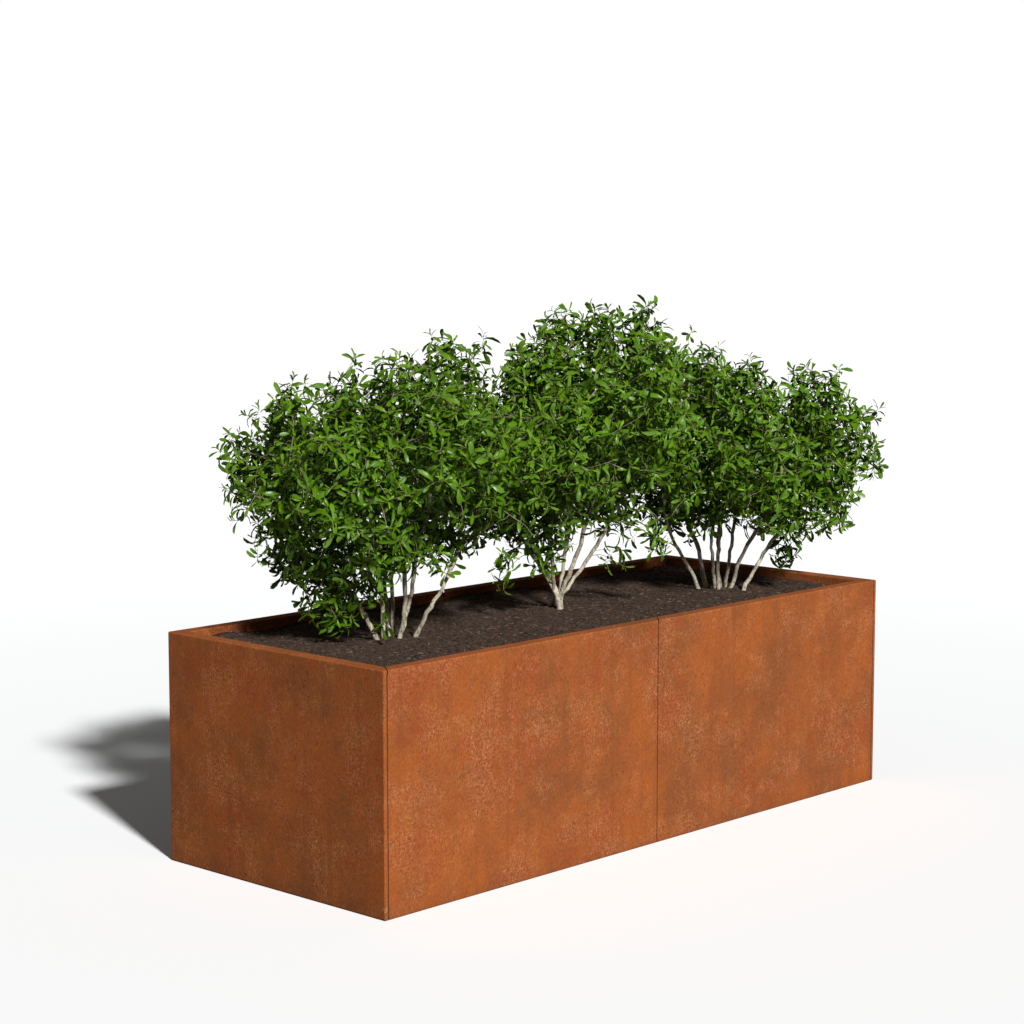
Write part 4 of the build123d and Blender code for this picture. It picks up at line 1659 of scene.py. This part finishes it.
    def build(self, leaves: dict[LeafAge, bpy.types.Object], trees: dict[str, GeometryTree],
              bark: bpy.types.Material, greens: dict[LeafAge, bpy.types.Material]) -> None:
        """Grows the shrub and makes its wood and its leaves.

        Args:
            leaves: the leaf that is repeated for each age.
            trees: the geometry trees for limbs and rosettes.
            bark: the material of the wood.
            greens: the material of the leaves of each age.
        """
        goals, hearts, hidden = self.leaf_places()
        wood = Branches()
        floor = self.middle().z + self.bare_height
        wood.grow(self.stem_lines(wood.step), goals, floor, self.seed + 1)
        self.build_wood(wood, trees["limbs"], bark)
        sources = self.rosette_points(wood, hearts, hidden)
        for layer in LEAF_LAYERS:
            self.build_leaves(layer, sources[layer.depth], leaves[layer.age], trees["rosettes"],
                              greens[layer.age])
        for source in sources.values():
            bpy.data.objects.remove(source)

    def low_girth(self, girth: float, height: float) -> float:
        """A stem's girth near the soil, where it flares or joins the trunk.

        Args:
            girth: its girth by what it carries.
            height: the height above the soil.

        Returns:
            The girth to make.
        """
        flare = 1.0 + self.flare * math.exp(-max(height, 0.0) / self.flare_height)
        rise = min(max((self.trunk_height - height) / (self.trunk_height / 2), 0.0), 1.0)
        return max(max(girth, self.stem_girth) * flare, self.trunk_girth * rise)

    def build_wood(self, wood: Branches, tree: GeometryTree, bark: bpy.types.Material) -> None:
        """Makes the stems, branches and twigs: thick wood with many sides, thin wood with few.

        Args:
            wood: the grown network.
            tree: the tree that turns chains into tubes.
            bark: the material of the wood.
        """
        soil = self.middle().z
        thick: list[list[int]] = []
        thin: list[list[int]] = []
        for chain in wood.chains:
            stout = wood.girths[chain[min(1, len(chain) - 1)]] > self.thick_girth
            (thick if stout else thin).append(chain)
        draw = np.random.default_rng(self.seed + 3)
        bends = draw.normal(0.0, self.kinks, wood.places.shape)
        bends *= wood.girths[:, None] > self.thick_girth
        for label, chains, sides in (("stems", thick, self.stem_sides), ("twigs", thin, self.twig_sides)):
            points, edges, girths = [], [], []
            for chain in chains:
                first = len(points)
                for order, node in enumerate(chain):
                    point = wood.places[node] + bends[node]
                    girth = wood.girths[chain[1] if order == 0 and len(chain) > 1 else node]
                    height = point[2] - soil
                    if label == "stems" and height < self.bare_height:
                        girth = self.low_girth(girth, height)
                    points.append(point)
                    girths.append(girth * draw.uniform(*self.lumps))
                edges += [(at, at + 1) for at in range(first, len(points) - 1)]
            source = plain_object(f"{self.name}_{label}_lines", mesh_of("lines", np.array(points), (), edges))
            put_attribute(source.data, "girth", "FLOAT", "POINT", np.array(girths))
            mesh = tree.run(source, f"{self.name}_{label}", Sides=sides, Finish=bark)
            bpy.data.objects.remove(source)
            piece = plain_object(f"{self.name}_wood_{label}", mesh)
            self.hand_over(piece, "shrub_bark", f"{self.name}_stems")

    def rosette_points(self, wood: Branches, hearts: np.ndarray,
                       hidden: np.ndarray) -> dict[Depth, bpy.types.Object]:
        """Makes the points that rosettes stand on, with their directions.

        Args:
            wood: the grown network.
            hearts: the middle of each place's foliage mass.
            hidden: which places lie deep inside.

        Returns:
            The points for each depth in the crown.
        """
        draw = np.random.default_rng(self.seed + 2)
        tips, aims, inner = [], [], []
        for (node, goal), end in zip(wood.tips, wood.ends):
            place = wood.places[end]
            way = place - wood.places[wood.parents[end]]
            out = place - hearts[goal]
            aim = (way / max(np.linalg.norm(way), TINY)
                   + self.aim_outward * out / max(np.linalg.norm(out), TINY))
            aim = aim + (0.0, 0.0, self.aim_upward) + draw.normal(0.0, self.aim_spread, 3)
            tips.append(place)
            aims.append(aim / np.linalg.norm(aim))
            inner.append(hidden[goal])
        counts = draw.integers(*self.leaf_counts, len(tips))
        starts = draw.uniform(0.0, math.tau, len(tips))
        deep = np.array(inner)
        sources = {}
        for depth, chosen in ((Depth.OUTER, ~deep), (Depth.INNER, deep)):
            mesh = mesh_of("tips", np.array(tips)[chosen])
            put_attribute(mesh, "aim", "FLOAT_VECTOR", "POINT", np.array(aims)[chosen])
            put_attribute(mesh, "leaves", "INT", "POINT", counts[chosen])
            put_attribute(mesh, "start", "FLOAT", "POINT", starts[chosen])
            sources[depth] = plain_object(f"{self.name}_{depth.value}_tips", mesh)
        return sources

    def build_leaves(self, layer: LeafLayer, source: bpy.types.Object, leaf: bpy.types.Object,
                     tree: GeometryTree, green: bpy.types.Material) -> None:
        """Makes one layer of leaves on the rosette points and hands it over.

        Args:
            layer: the kind of leaf.
            source: the rosette points.
            leaf: the leaf that is repeated.
            tree: the tree that sets leaves out.
            green: their material.
        """
        mesh = tree.run(source, layer.age.value, Leaf=leaf, Leaves=layer.count, First=layer.first,
                        Spacing=layer.spacing, Smallest=self.leaf_length * layer.smallest,
                        Largest=self.leaf_length * layer.largest, Raise=layer.raised,
                        Lower=layer.lowered, Finish=green)
        piece = plain_object(f"{self.name}_{layer.age.value}_leaves", mesh)
        self.hand_over(piece, "leaves", f"{self.name}_canopy")


LEFT_SHRUB = Shrub(
    name="left_shrub",
    foot=(-0.005, -0.03),
    stems=(
        ((-0.045, 0.00, -0.03), (-0.055, 0.03, 0.04), (-0.09, 0.06, 0.11), (-0.17, 0.12, 0.22),
         (-0.22, 0.17, 0.36)),
        ((0.02, 0.03, -0.03), (0.02, 0.03, 0.09), (0.03, 0.05, 0.20), (0.01, 0.11, 0.34),
         (-0.03, 0.15, 0.48)),
        ((0.005, 0.00, -0.03), (0.03, -0.03, 0.12), (0.04, -0.04, 0.22), (0.09, -0.05, 0.38),
         (0.13, -0.05, 0.54)),
        ((0.00, -0.01, -0.03), (0.00, -0.04, 0.10), (-0.03, -0.06, 0.23), (-0.08, -0.09, 0.38),
         (-0.09, -0.10, 0.52)),
        ((0.05, 0.00, -0.03), (0.07, -0.05, 0.07), (0.12, -0.08, 0.17), (0.20, -0.04, 0.27),
         (0.27, 0.02, 0.36)),
        ((-0.02, 0.02, -0.03), (-0.035, 0.01, 0.10), (-0.07, -0.02, 0.20), (-0.14, -0.07, 0.31),
         (-0.21, -0.10, 0.41)),
        ((0.01, 0.02, -0.03), (0.03, 0.06, 0.08), (0.08, 0.12, 0.20), (0.15, 0.17, 0.33)),
    ),
    masses=(
        (-0.22, 0.27, 0.43, 0.09, 0.09), (-0.24, 0.10, 0.555, 0.085, 0.12), (-0.26, 0.07, 0.36, 0.13, 0.14),
        (-0.03, 0.31, 0.44, 0.13, 0.14), (-0.04, 0.07, 0.57, 0.105, 0.13), (-0.26, -0.14, 0.43, 0.15, 0.15),
        (-0.08, -0.13, 0.61, 0.12, 0.14), (0.18, 0.14, 0.42, 0.17, 0.17), (0.125, -0.09, 0.635, 0.105, 0.14),
        (-0.06, -0.32, 0.51, 0.14, 0.15), (-0.08, 0.14, 0.23, 0.13, 0.13), (-0.10, -0.10, 0.28, 0.13, 0.12),
        (0.14, -0.04, 0.29, 0.13, 0.12), (0.32, -0.02, 0.41, 0.12, 0.16), (0.15, 0.32, 0.46, 0.13, 0.15),
        (0.16, -0.28, 0.44, 0.13, 0.14), (-0.12, 0.05, 0.17, 0.10, 0.11), (-0.14, 0.06, 0.11, 0.07, 0.08),
        (-0.19, 0.18, 0.20, 0.06, 0.07), (-0.13, 0.08, 0.06, 0.035, 0.04), (-0.23, 0.05, 0.23, 0.075, 0.07),
        (-0.12, -0.01, 0.15, 0.08, 0.09), (-0.065, -0.05, 0.04, 0.025, 0.03), (-0.14, 0.04, 0.045, 0.03, 0.03),
        (-0.16, 0.03, 0.06, 0.03, 0.04),
    ),
    seed=31,
    fullness=0.90,
)

CENTRE_SHRUB = Shrub(
    name="centre_shrub",
    foot=(0.046, -0.004),
    stems=(
        ((0.00, 0.00, -0.03), (0.002, 0.002, 0.03), (-0.01, 0.01, 0.06), (-0.07, 0.04, 0.155),
         (-0.11, 0.05, 0.23), (-0.18, 0.01, 0.34), (-0.24, -0.04, 0.45)),
        ((0.002, 0.002, 0.03), (0.00, 0.03, 0.09), (-0.01, 0.07, 0.14), (-0.01, 0.12, 0.23),
         (-0.03, 0.13, 0.38), (-0.08, 0.08, 0.56)),
        ((-0.01, 0.01, 0.06), (-0.04, -0.01, 0.13), (-0.08, -0.04, 0.25), (-0.13, -0.13, 0.38),
         (-0.17, -0.18, 0.50)),
        ((0.002, 0.002, 0.03), (0.03, 0.00, 0.17), (0.06, 0.01, 0.26), (0.06, 0.00, 0.42),
         (0.05, -0.02, 0.58)),
        ((0.002, 0.002, 0.03), (0.02, -0.05, 0.16), (0.02, -0.09, 0.27), (0.06, -0.14, 0.42),
         (0.11, -0.13, 0.60)),
        ((0.002, 0.002, 0.03), (0.06, -0.04, 0.12), (0.12, -0.08, 0.24), (0.20, -0.07, 0.34),
         (0.29, -0.03, 0.44)),
        ((0.03, 0.00, 0.17), (0.08, 0.05, 0.25), (0.14, 0.11, 0.33), (0.20, 0.16, 0.42)),
    ),
    masses=(
        (-0.055, -0.01, 0.64, 0.10, 0.13), (-0.21, -0.04, 0.46, 0.13, 0.14), (-0.04, 0.14, 0.30, 0.14, 0.13),
        (0.12, 0.01, 0.67, 0.14, 0.15), (-0.16, -0.20, 0.49, 0.15, 0.17), (0.26, 0.18, 0.44, 0.17, 0.17),
        (0.19, -0.12, 0.71, 0.12, 0.14), (0.06, -0.28, 0.57, 0.14, 0.16), (0.36, -0.03, 0.48, 0.14, 0.17),
        (0.14, -0.07, 0.35, 0.15, 0.13), (-0.07, -0.06, 0.31, 0.12, 0.12), (0.02, 0.30, 0.48, 0.15, 0.16),
        (0.12, 0.14, 0.60, 0.12, 0.13), (0.00, -0.10, 0.50, 0.12, 0.12), (-0.16, 0.01, 0.13, 0.03, 0.07),
        (-0.06, -0.06, 0.20, 0.075, 0.08), (0.22, -0.07, 0.18, 0.04, 0.07), (0.28, -0.16, 0.20, 0.04, 0.07),
    ),
    seed=52,
    stem_girth=0.0048,
    trunk_girth=0.0105,
)

RIGHT_SHRUB = Shrub(
    name="right_shrub",
    foot=(0.026, -0.097),
    stems=(
        ((-0.02, 0.04, -0.03), (-0.055, 0.06, 0.07), (-0.09, 0.09, 0.14), (-0.17, 0.06, 0.26),
         (-0.22, 0.00, 0.37)),
        ((0.02, 0.05, -0.03), (0.00, 0.06, 0.08), (0.01, 0.10, 0.15), (0.00, 0.16, 0.28),
         (0.02, 0.18, 0.38)),
        ((0.01, 0.01, -0.03), (-0.025, -0.005, 0.09), (-0.05, -0.02, 0.18), (-0.07, -0.10, 0.30),
         (-0.07, -0.17, 0.38)),
        ((0.005, -0.005, -0.03), (-0.01, -0.01, 0.09), (-0.02, -0.03, 0.20), (-0.03, -0.05, 0.38),
         (-0.04, -0.08, 0.54)),
        ((0.06, 0.02, -0.03), (0.05, -0.01, 0.10), (0.08, 0.00, 0.20), (0.14, 0.04, 0.31),
         (0.20, 0.06, 0.40)),
        ((0.05, -0.005, -0.03), (0.05, -0.05, 0.10), (0.08, -0.11, 0.21), (0.13, -0.17, 0.34),
         (0.18, -0.20, 0.48)),
        ((0.02, -0.06, -0.03), (0.08, -0.085, 0.075), (0.13, -0.12, 0.17), (0.21, -0.12, 0.27),
         (0.30, -0.08, 0.38)),
        ((0.045, 0.02, -0.03), (0.04, 0.03, 0.09), (0.07, 0.05, 0.18), (0.06, 0.06, 0.34),
         (0.02, 0.06, 0.52)),
    ),
    masses=(
        (0.00, -0.01, 0.58, 0.14, 0.13), (-0.20, -0.14, 0.42, 0.14, 0.15), (0.03, 0.10, 0.31, 0.14, 0.15),
        (-0.01, -0.20, 0.55, 0.13, 0.14), (0.24, -0.01, 0.38, 0.17, 0.17), (-0.05, -0.31, 0.37, 0.15, 0.15),
        (0.23, -0.29, 0.53, 0.105, 0.125), (0.24, -0.39, 0.45, 0.115, 0.11), (0.16, -0.39, 0.33, 0.105, 0.12),
        (0.35, -0.15, 0.39, 0.15, 0.16), (-0.01, -0.06, 0.27, 0.14, 0.10), (0.12, -0.26, 0.25, 0.12, 0.10),
        (-0.12, 0.22, 0.42, 0.14, 0.15), (0.12, 0.22, 0.42, 0.15, 0.15), (0.15, 0.05, 0.53, 0.12, 0.13),
        (0.18, -0.23, 0.12, 0.04, 0.07), (0.31, -0.34, 0.22, 0.04, 0.06),
    ),
    seed=77,
)


@dataclass
class Planting(Maker):
    """The three shrubs, which share one leaf, one set of trees and one set of finishes."""

    shrubs: tuple[Shrub, ...] = (LEFT_SHRUB, CENTRE_SHRUB, RIGHT_SHRUB)

    def feet(self) -> list[Vector]:
        """Where each shrub leaves the soil."""
        return [shrub.foot_point() for shrub in self.shrubs]

    def build(self) -> None:
        """Grows the shrubs one after another."""
        plain = Leaf(half_widths=((0.42, 0.092), (0.84, 0.128)))
        leaves = {LeafAge.MATURE: Leaf().build(), LeafAge.YOUNG: plain.build(), LeafAge.SHADE: plain.build()}
        trees = {"limbs": limb_tree(), "rosettes": rosette_tree()}
        bark = ShrubBark("shrub_bark").material()
        greens = {
            LeafAge.MATURE: LeafGreen("mature_leaf"),
            LeafAge.YOUNG: LeafGreen(
                "young_leaf", deep=(0.092, 0.218, 0.001), fresh=(0.165, 0.310, 0.002),
                below=(0.125, 0.235, 0.012), glow=(0.161, 0.332, 0.002)),
            # Shade leaves deep in the crown get darker greens: partly the darker green of leaves grown in
            # shade, partly painted shade.
            LeafAge.SHADE: LeafGreen(
                "shade_leaf", deep=(0.038, 0.105, 0.001), fresh=(0.070, 0.165, 0.0012),
                below=(0.065, 0.140, 0.006), glow=(0.138, 0.296, 0.0018), through=0.08),
        }
        made = {age: green.material() for age, green in greens.items()}
        for shrub in self.shrubs:
            shrub.build(leaves, trees, bark, made)
        for leaf in leaves.values():
            bpy.data.objects.remove(leaf)


@dataclass
class Studio:
    """A pale floor, one soft sun, weak fill light and the camera."""

    floor_radius: float = 60.0
    floor_sides: int = 64
    sun_direction: Triple = (0.28, 0.775, -0.568)
    sun_strength: float = 4.72
    sun_spread: float = math.radians(5.0)
    sun_tint: Triple = (0.99, 0.998, 1.0)
    fill: Triple = (1.0, 1.0, 0.98)
    fill_strength: float = 0.095
    background: float = 1.0
    camera_place: Triple = (-4.7247, -4.3174, 1.6088)
    camera_fall: float = math.radians(6.724)
    camera_turn: float = math.radians(-46.725)
    lens: float = 82.75
    sensor: float = 36.0
    sight: float = 400.0

    def build_floor(self) -> None:
        """A round floor at the planter's foot."""
        sides = range(self.floor_sides)
        turns = [math.tau * side / self.floor_sides for side in sides]
        ring = [(self.floor_radius * math.cos(turn), self.floor_radius * math.sin(turn), 0.0)
                for turn in turns]
        floor = plain_object("studio_floor", mesh_of("studio_floor", np.array(ring), [tuple(sides)]))
        floor.data.materials.append(PaleFloor("pale_floor").material())

    def build_light(self) -> None:
        """The sun and the sky-like fill, with a white background for the eye alone."""
        lamp = bpy.data.lights.new("soft_sun", "SUN")
        lamp.energy = self.sun_strength
        lamp.angle = self.sun_spread
        lamp.color = self.sun_tint
        sun = bpy.data.objects.new("soft_sun", lamp)
        sun.rotation_euler = Vector(self.sun_direction).to_track_quat("-Z", "Y").to_euler()
        bpy.context.scene.collection.objects.link(sun)
        world = bpy.data.worlds.new("studio")
        world.use_nodes = True
        world.node_tree.nodes.clear()
        graph = Graph(world.node_tree)
        seen = graph.node("ShaderNodeLightPath", {}, {}, "Is Camera Ray")
        white = graph.node("ShaderNodeBackground", {},
                           {"Color": (1.0, 1.0, 1.0), "Strength": self.background})
        fill = graph.node("ShaderNodeBackground", {},
                          {"Color": self.fill, "Strength": self.fill_strength})
        both = graph.node("ShaderNodeMixShader", {}, {0: seen, 1: fill, 2: white})
        end = world.node_tree.nodes.new("ShaderNodeOutputWorld")
        world.node_tree.links.new(both.socket, end.inputs["Surface"])
        bpy.context.scene.world = world
        bpy.context.scene.view_settings.view_transform = "Standard"

    def build_camera(self) -> None:
        """The camera, at a standing person's eye height, turned towards the box's near corner."""
        lens = bpy.data.cameras.new("camera")
        lens.lens = self.lens
        lens.sensor_width = self.sensor
        lens.clip_end = self.sight
        camera = bpy.data.objects.new("camera", lens)
        camera.location = self.camera_place
        camera.rotation_euler = (math.pi / 2 - self.camera_fall, 0.0, self.camera_turn)
        bpy.context.scene.collection.objects.link(camera)
        bpy.context.scene.camera = camera

    def build(self) -> None:
        """Sets up the whole studio."""
        self.build_camera()
        self.build_floor()
        self.build_light()


def write_sizes() -> None:
    """Brings the scene up to date; nothing is written."""
    bpy.context.view_layer.update()


def main() -> None:
    """Builds the studio, the box, its fill and the shrubs, in that order."""
    logging.basicConfig(level=logging.INFO, format="%(message)s")
    planting = Planting()
    Studio().build()
    SteelBox().dress()
    Fill().build(planting.feet())
    planting.build()
    write_sizes()


if __name__ == "__main__":
    main()
